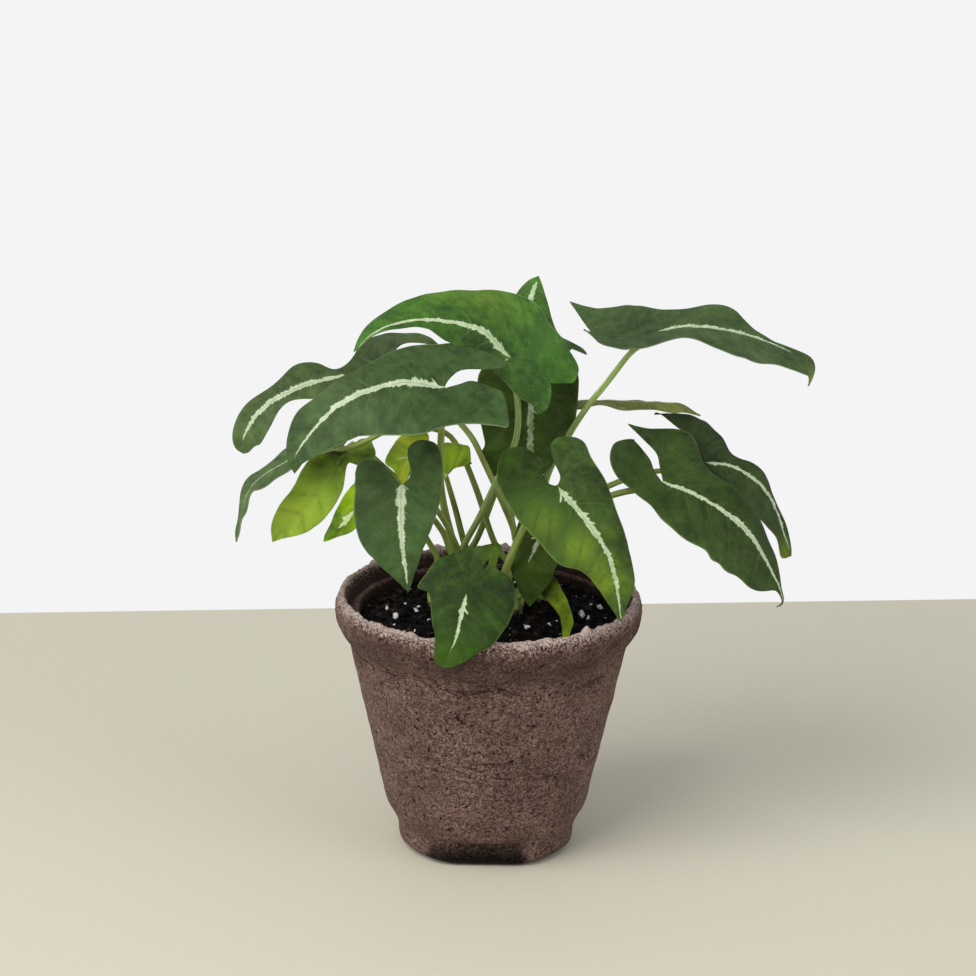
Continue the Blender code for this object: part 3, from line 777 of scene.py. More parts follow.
def half_rows(blade, half):
    """Rows of (place, flat place, reach), from the tip to the lobe end."""
    margin, _ = smooth_line([(blade.length, 0)] + list(blade.margins[half]), MARGIN_STEPS)
    if blade.fray:
        bites = np.array([noise.noise(Vector((step / BITE, blade.seed, half)))
                          for step in range(1, MARGIN_STEPS)])
        margin[1:-1, 1] -= blade.fray * np.maximum(0, bites) * (margin[1:-1, 1] > 2)
    end = blade.margins[half][-1]
    inside = blade.notch[half] or [(end[0] * 0.5, end[1] * 0.4)]
    sinus, _ = smooth_line([(0, 0), *inside, end], LOBE_ROWS)
    hub = int(np.argmax(margin[:, 0] <= 0))
    shares = np.concatenate([np.linspace(0, hub, RIB_ROWS + 1),
                             np.linspace(hub, MARGIN_STEPS, LOBE_ROWS + 1)[1:]])
    inner = [(along, 0.0) for along in np.linspace(blade.length, 0, RIB_ROWS + 1)]
    inner += [tuple(spot) for spot in sinus[1:]]
    rows = []
    for share, start in zip(shares, inner):
        outer = [np.interp(share, np.arange(MARGIN_STEPS + 1), margin[:, axis])
                 for axis in (0, 1)]
        row = []
        for reach in np.linspace(0, 1, BLADE_COLUMNS + 1):
            along, across = np.array(start) * (1 - reach) + np.array(outer) * reach
            place = blade.spot(along, across, half, reach, share / MARGIN_STEPS)
            row.append((place, along, across * (-1, 1)[half], reach))
        rows.append(row)
    return rows


print("rows and columns of each half:", RIB_ROWS + LOBE_ROWS, BLADE_COLUMNS)

# %% [markdown]
# The finish needs to know where it is on the leaf, so every point carries
# four small sets of numbers: its flat place with the pale stripe's half
# width; how yellow the leaf is there, how dark it is painted as painted
# shade, and how near the margin; its vein row, the leaf's seed and how fresh
# it is there, which on the fading leaves is painted light coming through;
# and the leaf's tone, partly its own colour and partly painted light and
# shade. They are stored as attributes, which follow the surface as the leaf
# bends, where a pattern on plain coordinates would run straight through it.

# %% Grids and what they carry
def tint_at(blade, along, across, kind):
    """How strongly a tint of this kind colours a flat point, 0 to 1."""
    amount = 0.0
    for name, centre, beside, radius, strength in blade.tints:
        if name == kind:
            away = math.hypot(along - centre, across - beside) / radius
            amount = max(amount, strength * math.exp(-away ** 2))
    return amount


def laid_grid(name, rows):
    """A grid primitive with its points laid at the rows' places, in millimetres."""
    across, along = len(rows[0]) - 1, len(rows) - 1
    bpy.ops.mesh.primitive_grid_add(x_subdivisions=across, y_subdivisions=along, size=1)
    sheet = bpy.context.object
    sheet.name = name
    places = np.array([place for row in rows for place in row], float) * MM
    sheet.data.vertices.foreach_set("co", places.ravel())
    return sheet


def carry(mesh, name, values):
    """Store one (x, y, z) per point as an attribute."""
    layer = mesh.attributes.new(name, "FLOAT_VECTOR", "POINT")
    layer.data.foreach_set("vector", np.array(values, float).ravel())


def carry_leaf(mesh, blade, flat):
    """Store what the finish reads, for points (along, across, reach)."""
    shares = np.array([along / blade.length for along, across, reach in flat])
    widths = np.interp(shares, blade.stripe[:, 0], blade.stripe[:, 1], left=0, right=0)
    yellow, dark, fresh = [[tint_at(blade, along, across, kind) for along, across, reach in flat]
                           for kind in ("yellow", "dark", "fresh")]
    reaches = [reach for along, across, reach in flat]
    rows = [blade.vein_row(along, abs(across)) for along, across, reach in flat]
    carry(mesh, "flat", [(along, across, width)
                         for (along, across, reach), width in zip(flat, widths)])
    carry(mesh, "tint", list(zip(yellow, dark, reaches)))
    carry(mesh, "vein", [(row, blade.seed, fresh_and_lit_here) for row, fresh_and_lit_here in zip(rows, fresh)])
    carry(mesh, "tone", [blade.tone] * len(flat))


print("sets of numbers on a leaf:", ["flat", "tint", "vein", "tone"])

# %% [markdown]
# A real blade is about a third of a millimetre thick. This one is a little
# thicker, so that its margin still has body after smoothing. Both halves are
# joined on the rib, where doubled points are merged before the sheet gets its
# thickness from Solidify, with the underside in a finish of its own. One level
# of subdivision then rounds the margin.

# %% Build a blade
BLADE_THICKNESS = 0.42
MERGE = 0.02  # points of the two halves that lie closer than this become one


def dress_blade(leaf, blade, upper, under):
    """Both halves of a blade, joined on the rib, thickened and smoothed."""
    halves = []
    for half in (0, 1):
        rows = half_rows(blade, half)
        sheet = laid_grid("half", [[item[0] for item in row] for row in rows])
        carry_leaf(sheet.data, blade, [item[1:] for row in rows for item in row])
        halves.append(sheet)
    bpy.ops.object.select_all(action="DESELECT")
    for sheet in halves:
        sheet.select_set(True)
    bpy.context.view_layer.objects.active = halves[1]
    bpy.ops.object.join()
    made = bpy.context.object
    made.name = made.data.name = "leaf_" + leaf
    bpy.ops.object.mode_set(mode="EDIT")
    bpy.ops.mesh.select_all(action="SELECT")
    bpy.ops.mesh.remove_doubles(threshold=MERGE * MM)
    bpy.ops.mesh.dissolve_degenerate(threshold=MERGE * MM)
    bpy.ops.mesh.normals_make_consistent(inside=False)
    bpy.ops.object.mode_set(mode="OBJECT")
    middle = made.data.polygons[len(made.data.polygons) // 2]
    nearest = min(range(len(blade.rib)), key=lambda step: np.linalg.norm(
        blade.rib[step] * MM - np.array(middle.center)))
    if np.dot(np.array(middle.normal), blade.up[nearest]) < 0:
        made.data.flip_normals()
    made.data.materials.append(upper)
    made.data.materials.append(under)
    for kind, settings in (("SOLIDIFY", {"thickness": BLADE_THICKNESS * MM, "offset": 0.0,
                                         "material_offset": 1}),
                           ("SUBSURF", {"levels": 1, "render_levels": 1})):
        step = made.modifiers.new(kind.lower(), kind)
        for key, value in settings.items():
            setattr(step, key, value)
        bpy.ops.object.modifier_apply(modifier=step.name)
    bpy.ops.object.shade_smooth()
    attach(made, "root")
    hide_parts("blade_" + leaf)
    return made


print("blade thickness, mm:", BLADE_THICKNESS)

# %% [markdown]
# A living leaf is a waxy skin over green tissue: satin, with a little light
# passing through. One recipe serves every age of leaf, from two greens, a
# yellow it turns to, and the colour of its pale rib. It starts from the numbers
# that the leaf carries and from noises laid on them. Some noises lie flat on
# the leaf. The others are stretched along the lateral veins, because pallor
# runs out along them like the barbs of a feather.

# %% What a leaf finish reads
FEATHER = 0.16  # how stretched the noises along the veins are
VEIN_NOISES = ((0.35, 4.0), (0.95, 2.0), (0.25, 1.0), (0.62, 1.0))  # per mm, and detail
FLAT_NOISES = (0.32, 0.10, 1.2)  # per mm


def leaf_patterns(tree):
    """The numbers that a leaf carries, and the noises laid on it, by name."""
    flat, tint, vein, tone = [add(tree, "Attribute", attribute_name=which)["Vector"]
                              for which in ("flat", "tint", "vein", "tone")]
    along, across, width = add(tree, "SeparateXYZ", [flat])
    ageing, shade, reach = add(tree, "SeparateXYZ", [tint])
    row, seed, fresh_and_lit = add(tree, "SeparateXYZ", [vein])
    beside = add(tree, "Math", [across], operation="ABSOLUTE")[0]
    half = add(tree, "Math", [across], operation="SIGN")[0]
    swept = add(tree, "Math", (beside, -VEIN_SWEEP, along), operation="MULTIPLY_ADD")[0]
    outward = add(tree, "Math", (beside, FEATHER), operation="MULTIPLY")[0]
    apart = add(tree, "Math", (half, 20.0, seed), operation="MULTIPLY_ADD")[0]
    feather = add(tree, "CombineXYZ", (swept, outward, apart))[0]
    on_leaf = add(tree, "CombineXYZ", (along, across, seed))[0]
    streak, fine_jag, swell, long_spur = [
        add(tree, "TexNoise", {"Vector": feather, "Scale": scale, "Detail": detail,
                               "Roughness": 0.65})["Fac"]
        for scale, detail in VEIN_NOISES]
    mottle, cloud, bubbles = [
        add(tree, "TexNoise", {"Vector": on_leaf, "Scale": scale, "Detail": 4.0,
                               "Roughness": 0.62})["Fac"] for scale in FLAT_NOISES]
    return SimpleNamespace(
        along=along, beside=beside, width=width, ageing=ageing, shade=shade, reach=reach,
        row=row, fresh_and_lit=fresh_and_lit, tone=tone, streak=streak, fine_jag=fine_jag, swell=swell,
        long_spur=long_spur, mottle=mottle, cloud=cloud, bubbles=bubbles)


print("noises on a leaf:", len(VEIN_NOISES) + len(FLAT_NOISES))

# %% [markdown]
# Deep and fresh green lie on the leaf in clouds and mottles, over them the
# yellow of age and, where a leaf lies in the shadow of another, painted shade.
# Each lateral vein lies in a soft crease that is painted darker, as painted
# shade, and some show a pale hair line. The margin is pale too.

# %% The green of a leaf
SHADE_GREEN = "#131c08"


def leaf_body(tree, at, deep, fresh, yellow, rib):
    """The colour beside the pale rib, and how deep the creases are, 0 to 1."""
    blend = add(tree, "Math", (at.mottle, 0.6, at.cloud), operation="MULTIPLY_ADD")[0]
    blend = add(tree, "Math", (at.streak, 0.4, blend), operation="MULTIPLY_ADD")[0]
    blend = add(tree, "MapRange", (blend, 0.80, 1.22))[0]
    # The fresh amount brings in fresh green: young tissue, and on the fading leaves painted light where
    # light comes through.
    blend = add(tree, "Math", (blend, at.fresh_and_lit), operation="MAXIMUM")[0]
    patchy = add(tree, "MapRange", (at.mottle, 0.3, 0.6, 0.6, 1.0))[0]
    yellowing = add(tree, "Math", (at.ageing, patchy), operation="MULTIPLY")[0]
    # Painted shade: where a leaf lies in the shadow of another, it is mixed towards SHADE_GREEN.
    shaded = add(tree, "MapRange", (at.mottle, 0.35, 0.65, 1.1, 0.8))[0]
    shaded = add(tree, "Math", (at.shade, shaded), operation="MULTIPLY")[0]
    off_vein = add(tree, "Math", (at.row, 0.5), operation="PINGPONG")[0]
    some = add(tree, "MapRange", (at.mottle, 0.4, 0.6))[0]
    # Painted shade: the tissue in the soft crease along each vein is painted darker.
    crease = add(tree, "MapRange", (off_vein, 0.0, 0.2, 0.5, 0.0))[0]
    crease = add(tree, "Math", (crease, some), operation="MULTIPLY")[0]
    hair = add(tree, "MapRange", (off_vein, 0.0, 0.08, 0.10, 0.0))[0]
    often = add(tree, "MapRange", (at.streak, 0.42, 0.62))[0]
    inner = add(tree, "MapRange", (at.reach, 0.15, 0.8, 1.0, 0.15))[0]
    for part in (often, inner):
        hair = add(tree, "Math", (hair, part), operation="MULTIPLY")[0]
    edge = add(tree, "MapRange", (at.reach, 0.975, 1.0, 0.0, 0.22))[0]
    body = linear(deep)
    for colour, amount in ((fresh, blend), (yellow, yellowing), (SHADE_GREEN, shaded),
                           (deep, crease), (rib, hair), (rib, edge)):
        body = add(tree, "Mix", {0: amount, 6: body, 7: linear(colour)}, data_type="RGBA")[2]
    body = add(tree, "Mix", {0: 1.0, 6: body, 7: at.tone}, data_type="RGBA",
               blend_type="MULTIPLY")[2]
    return body, crease


print("shade green in linear light:", [round(part, 3) for part in linear(SHADE_GREEN)])

# %% [markdown]
# The tissue beside the rib has little green in it, so it is pale and a bit
# chalky. The stripe's edge is jagged, it swells and thins along the rib, and
# near the hub it has spurs along the veins. Where it is wide, the rib itself
# shows as a thin green line in it. So the stripe is not painted as an outline:
# the finish compares the distance from the rib with a width that noise changes.

# %% The pale rib
CHALK = "#c9d2b6"


def pale_rib(tree, at, fresh, rib):
    """How much of the rib's colour shows, 0 to 1, and that colour."""
    jag = add(tree, "MapRange", (at.fine_jag, 0.36, 0.64, 0.68, 1.18))[0]
    swell = add(tree, "MapRange", (at.swell, 0.35, 0.65, 0.75, 1.25))[0]
    spur = add(tree, "MapRange", (at.long_spur, 0.60, 0.72, 0.0, 1.9))[0]
    near_hub = add(tree, "MapRange", (at.along, 3.0, 18.0, 1.0, 0.15))[0]
    spur = add(tree, "Math", (spur, near_hub), operation="MULTIPLY")[0]
    grow = add(tree, "Math", (jag, swell, spur), operation="MULTIPLY_ADD")[0]
    inside = add(tree, "Math", (at.width, grow), operation="MULTIPLY")[0]
    inside = add(tree, "Math", (inside, at.beside), operation="SUBTRACT")[0]
    pale = add(tree, "MapRange", (inside, 0.0, 0.3, 0.0, 0.92))[0]
    chalky = add(tree, "MapRange", (at.mottle, 0.4, 0.65, 0.0, 0.8))[0]
    mid_line = add(tree, "MapRange", (at.beside, 0.08, 0.28, 0.4, 0.0))[0]
    where_wide = add(tree, "MapRange", (at.width, 0.9, 1.5))[0]
    mid_line = add(tree, "Math", (mid_line, where_wide), operation="MULTIPLY")[0]
    rib_tone = linear(rib)
    for colour, amount in ((CHALK, chalky), (fresh, mid_line)):
        rib_tone = add(tree, "Mix", {0: amount, 6: rib_tone, 7: linear(colour)},
                       data_type="RGBA")[2]
    return pale, rib_tone


print("chalk in linear light:", [round(part, 3) for part in linear(CHALK)])

# %% [markdown]
# The finish puts the two together. Plant tissue bends light a little less than
# plastics do, so its IOR is 1.4, and its wax is satin. The light that passes
# through comes out greenest, which is what the subsurface radius says. The
# undersides are greyer and duller, from the same recipe.

# %% Leaf finishes
def leaf_finish(name, deep, fresh, yellow, rib, roughness=0.52):
    """Skin of a leaf: two greens in clouds, creases at the veins, a pale rib."""
    made, tree, shader = new_finish(name, roughness, ior=1.4)
    shader.inputs["Specular IOR Level"].default_value = 0.26
    at = leaf_patterns(tree)
    body, crease = leaf_body(tree, at, deep, fresh, yellow, rib)
    pale, rib_tone = pale_rib(tree, at, fresh, rib)
    skin = add(tree, "Mix", {0: pale, 6: body, 7: rib_tone}, data_type="RGBA")[2]
    tree.links.new(skin, shader.inputs["Base Color"])
    relief = add(tree, "Math", (crease, -2.0, at.bubbles), operation="MULTIPLY_ADD")[0]
    bump = add(tree, "Bump", {"Height": relief, "Strength": 0.4, "Distance": 0.4 * MM})
    tree.links.new(bump[0], shader.inputs["Normal"])
    shader.inputs["Subsurface Weight"].default_value = 0.12
    shader.inputs["Subsurface Scale"].default_value = 0.6 * MM
    shader.inputs["Subsurface Radius"].default_value = (0.6, 1.0, 0.3)
    return made


LEAF_COLOURS = {  # deep green, fresh green, the yellow it turns to, the pale rib
    "deep_green": ("#2c4120", "#466033", "#86a12c", "#aebd98"),
    "mid_green": ("#30541c", "#54842d", "#8fae35", "#adc092"),
    "bright_green": ("#40680b", "#749a14", "#a5bb30", "#c9d79a"),
    "yellow_green": ("#5c7620", "#93b032", "#a9ad28", "#a8b56a"),
    # Painted shade: a darker green for the leaf that hangs in shade between the stalks.
    "dark_green": ("#283910", "#445e22", "#5f7a2a", "#7c935a"),
    # Painted shade: mid green made darker for the leaves that hang over the pot's front.
    "shaded_mid_green": ("#22350f", "#46682a", "#7fa02a", "#a3b886"),
}
UNDERSIDE_COLOURS = {  # deep green, fresh green, yellow
    "deep_green": ("#34482a", "#4a6038", "#8a9f48"),
    "mid_green": ("#426430", "#5c8044", "#98ad50"),
    "bright_green": ("#5a7a28", "#7f9a40", "#aebd58"),
    "yellow_green": ("#69792c", "#93a044", "#b9bd5c"),
    "dark_green": ("#23331f", "#34482c", "#68783c"),
    "shaded_mid_green": ("#34482a", "#4a6038", "#8a9f48"),
}
UNDERSIDE_RIB = "#8fa070"
FINISHES = {age: leaf_finish(age + "_leaf_skin", *colours)
            for age, colours in LEAF_COLOURS.items()}
UNDERSIDES = {age: leaf_finish(age + "_leaf_underside", *colours, UNDERSIDE_RIB, roughness=0.6)
              for age, colours in UNDERSIDE_COLOURS.items()}
print("leaf finishes:", sorted(FINISHES))

# %% [markdown]
# ## The leaves, one by one
# Eighteen leaves, each with its age, its blade, the stem it grows from, the
# side of that stem, and the way its stalk takes. Old leaves are deep green,
# young ones bright, and some turn yellow. A modeller could bend one leaf into
# all of them, but each real leaf has an outline of its own, so each is written
# down. The first four crown the plant and arch out to its left.

# %% The crest and the leaves at the upper left
LEAVES = {
    "crest": (
        "mid_green",
        Blade(
            [(6, -12, 192), (-5, -13, 203), (-26, -16, 207), (-41, -20, 204), (-50, -24, 197)],
            tone=(1.13, 1.1, 1.1),
            face=(0, 0, 1), slope=(-70, 0, 36, 12), drop=(0, -10),
            left=[(59, 1.5), (48, 2.5), (40, 3), (35, 4.5), (32, 7.5), (29, 9.5), (24, 9.5),
                  (16, 9), (8, 8.5), (0, 8.5), (-9, 7.5), (-15, 6.5), (-19, 5.5), (-23, 6.5)],
            right=[(61, 3), (51, 8), (37, 13), (28, 16), (22, 19), (16, 23), (10, 30), (5, 34),
                   (-1, 34), (-7, 32), (-13, 32), (-18, 31), (-23, 26), (-28, 20), (-27.5, 12)],
            notch=([(-3, -4.5), (-10, -6), (-18, -4.5), (-21, -2), (-24, 3)], [(-15, 2)]),
            stripe=[(0, 0.5), (0.05, 1.4), (0.18, 1.5), (0.35, 1.1), (0.6, 0.8), (0.95, 0.35)],
            fray=0.6,
            tints=[("yellow", 16, 19, 11, 0.32), ("yellow", 30, 15, 7, 0.2),
                   ("fresh", -12, 22, 11, 0.6), ("dark", 14, -10, 26, 0.72),
                   ("dark", 36, -7, 12, 0.6), ("dark", -14, -6, 16, 0.6), ("dark", 45, 8, 20, 0.35)],
        ),
        "west", 30, [(-10, 9, 112), (-4, 6, 125), (2, 2, 140), (9, -2, 158), (9, -8, 177)],
    ),
    "front_left": (
        "deep_green",
        Blade(
            [(-17, -38, 188), (-33, -42, 191), (-54, -46, 184), (-69, -49, 167), (-70, -50, 159)],
            tone=(1.05, 1.05, 0.95),
            face=(0, 0, 1), slope=(-28, -22, 38, 10), drop=(-15, 0), bend=(-10, 0), twist=-35,
            notch=([(-6, -3), (-12, -5)], [(-2, 4), (-6, 8.5), (-10, 10), (-16, 11)]),
            left=[(68, 3), (60, 7), (50, 11), (39, 15), (31, 19), (22, 22), (14, 22.7), (8, 22),
                  (4.5, 20), (1, 18.3), (-4, 17.4), (-10, 17.6), (-16, 17.8), (-18.4, 18.5),
                  (-19.4, 19), (-20, 17.5), (-20.8, 12), (-21.4, 6), (-21.2, 1.2)],
            right=[(66, 3), (59, 8), (52, 10), (43, 7.5), (33, 9), (25, 11.5), (17, 13.5),
                   (8, 16.5), (-1.5, 20.5), (-6, 21.5), (-12, 20.5), (-16, 19), (-22, 16), (-25, 13.5)],
            stripe=[(0, 0.5), (0.05, 1.5), (0.2, 1.7), (0.3, 1.2), (0.5, 1.3), (0.8, 0.6), (0.92, 0.2)],
            fray=0.8, tints=[("dark", 20, 14, 26, 0.2), ("dark", 4, -12, 20, 0.18)],
        ),
        "middle", 190, [(-13, 0, 115), (-18, -10, 141), (-18, -24, 169)],
    ),
    "far_left": (
        "deep_green",
        Blade(
            [(-41, 12, 181), (-54, 10, 178), (-70, 8, 174), (-84, 6, 166), (-91, 5, 155),
             (-91, 4, 149)],
            tone=(1.45, 1.25, 1.25),
            face=(0, 0, 1), slope=(-15, -15, 14, 12), drop=(20, 0), twist=-40,
            left=[(66, 2), (61, 7), (54, 8), (46, 6.5), (38, 4.5), (26, 8), (12, 10), (0, 11),
                  (-10, 9), (-14, 5)],
            right=[(64, 3), (58, 6), (50, 7), (42, 5.5), (36, 6.5), (29, 11), (22, 10), (16, 5),
                   (9, 9), (2, 21), (-6, 27), (-14, 22), (-20, 13), (-23, 3.5)],
            notch=(None, [(-6, 7), (-10.5, 12), (-16, 10)]),
            stripe=[(0.22, 1.0), (0.4, 1.5), (0.6, 1.4), (0.8, 1.1), (0.91, 0.4)], fray=0.8,
            tints=[("dark", 4, 8, 22, 0.45)],
        ),
        "rear", 205, [(10, 10, 114), (8, 10, 122), (-2, 8.3, 145), (-9, 9.5, 157.5), (-23, 11, 170)],
    ),
    "low_left": (
        "deep_green",
        Blade(
            [(-60, -5, 157), (-75, -8, 150), (-88, -10, 140), (-93, -14, 121)],
            tone=(1.8, 1.5, 1.7),
            face=(0, 0, 1), slope=(-5, -5, 10, 10), drop=(20, 20),
            left=[(50, 3.5), (45, 2), (42, 4.5), (38, 3), (34, 3.5), (30, 9.5), (26, 10), (22, 7),
                  (15, 7.5), (4, 8), (-4, 7), (-8, 3)],
            right=[(50, 2), (45, 2.5), (34, 5), (19, 7), (4, 8), (-4, 7), (-8, 3)],
            stripe=[(0, 0.5), (0.5, 0.4), (0.8, 0.2)], fray=0.8,
        ),
        "rear", 155, [(3, 15, 110), (-5, 14, 133), (-11, 15, 147), (-18, 13, 156),
                      (-35, 3, 160), (-50, -1, 154)],
    ),
}
print("rib lengths, mm:", [round(LEAVES[leaf][1].length) for leaf in LEAVES])

# %% [markdown]
# Below them hang two leaves that turn yellow, a small bright one, and a broad
# one that hangs straight down in front of the stalks. A fading leaf is bright
# where the light comes through and dark where it lies behind another.

# %% The yellow leaves and the hanging one
LEAVES.update({
    "yellow_left": (
        "yellow_green",
        Blade(
            [(-54, 5, 149), (-60, 2, 140), (-67, 0, 130), (-80, -2, 117)],
            tone=(1.17, 1.22, 1.4),
            face=(0, -1, 0.4), slope=(0, 0, 0, 0), drop=(20, 20),
            left=[(38, 2), (31, 6), (22, 7.5), (12, 7), (5, 4), (1.5, 3), (0.5, 5.5), (0.3, 8.3),
                  (-3, 9.8), (-7, 9.6), (-10.5, 5)],
            right=[(38, 5), (31, 8), (22, 9), (12, 10), (2, 9), (-8, 6)],
            notch=([(-4, 1), (-8, 1.8)], None),
            stripe=[(0, 0.2), (0.8, 0.1)], fray=0.5,
            tints=[("dark", 2, 2, 6, 0.9), ("dark", 8, 5, 5, 0.6), ("dark", -5, -6.5, 6, 0.7),
                   ("fresh", 22, 0, 16, 1.0), ("yellow", 30, 3, 9, 0.3)],
        ),
        "middle", 135, [(-14, 14, 108), (-18, 13, 118), (-30, 10, 134), (-39, 9, 143), (-50, 9, 152)],
    ),
    "small_left": (
        "bright_green",
        Blade(
            [(-39, -5, 139), (-48, -8, 134), (-53, -10, 128), (-61, -12, 121)],
            tone=(1.65, 1.6, 0.05),
            face=(0, -0.6, 1), slope=(5, 5, 5, 5), drop=(20, 20),
            left=[(27, 2), (20, 5), (11, 8), (2, 9), (-5, 8), (-9, 4)],
            right=[(27, 2), (20, 5), (11, 8), (2, 8), (-2, 5), (-4, 2)],
            stripe=[(0.46, 0.1), (0.52, 1.1), (0.62, 1.5), (0.72, 0.8), (0.76, 0)], fray=0.5,
            tints=[("dark", 24, -1, 9, 0.6), ("dark", 14, -6, 7, 0.4), ("yellow", 8, 4, 8, 0.35)],
        ),
        "west", 200, [(-19, 0, 110), (-23, -2, 119), (-30, -4, 132)],
    ),
    "hanging": (
        "deep_green",
        Blade(
            [(-32, -34, 150), (-32, -38, 138), (-31, -40, 126), (-29, -42, 112)],
            tone=(0.99, 1.0, 0.86),
            face=(0, -0.95, 0.31), slope=(0, 0, 0, 0),
            left=[(33, 3), (27, 6), (16, 11), (6, 14), (-5, 15), (-12, 14), (-15.5, 12),
                  (-16.5, 8), (-16, 5)],
            right=[(34, 4), (27, 10), (20, 15), (12, 17), (2, 17), (-3, 17), (-6.5, 16.5),
                   (-9, 14), (-9, 10), (-7.5, 7)],
            notch=([(-3, 2.8), (-6.5, 3), (-10.5, 1.9), (-14, 2.4)], [(-1.5, 1.6), (-5, 4.5)]),
            stripe=[(0, 1.1), (0.05, 1.8), (0.2, 1.6), (0.5, 1.2), (0.85, 0.6), (0.92, 0.3)], fray=0.6,
            tints=[("dark", -8, 6, 9, 0.25), ("fresh", 16, 3, 16, 0.4)],
        ),
        "middle", 250, [(-10, -8, 113), (-16, -20, 131), (-24, -29, 145)],
    ),
    "yellow_inner": (
        "yellow_green",
        Blade(
            [(-16, 2, 142), (-23, 4, 147), (-30, 6, 148), (-39, 6, 146)],
            tone=(1.0, 1.02, 0.45),
            face=(0, -1, 0.6), slope=(0, 0, 0, 0), drop=(20, 20),
            left=[(25, 1.5), (23, 4), (22, 7.5), (20.6, 10.4), (19, 10.8), (17.5, 9), (15, 6.2),
                  (12, 4.5), (8, 3.3), (3, 1.5), (0, 1)],
            right=[(24.5, 2), (22, 5), (18.5, 8.5), (14, 10.5), (12.2, 10), (11.4, 6.8),
                   (9.8, 5.8), (8.4, 7.5), (7.6, 9.5), (5.2, 12), (1.5, 14.4), (-0.8, 13),
                   (-2.2, 11.2), (-4, 9.6)],
            notch=(None, [(0.4, 2), (-0.6, 4.6), (-2.6, 7.2)]),
            stripe=[(0, 0.5), (0.8, 0.3)], fray=0.8,
            tints=[("yellow", 15, 6, 6, 0.5), ("yellow", 20, -9, 5, 0.9), ("dark", 7, 12, 4, 0.4),
                   ("fresh", 2, 8, 7, 1.0), ("dark", -2, 8, 3, 0.4)],
        ),
        "middle", 70, [(-9, 14, 111), (-13, 11, 127)],
    ),
})
print("rib lengths so far, mm:", [round(LEAVES[leaf][1].length) for leaf in LEAVES])

# %% [markdown]
# Two leaves lean over the front of the pot, with yellow patches. Behind them, in
# their shade, hang a small leaf and a narrow new one that hasn't opened yet.

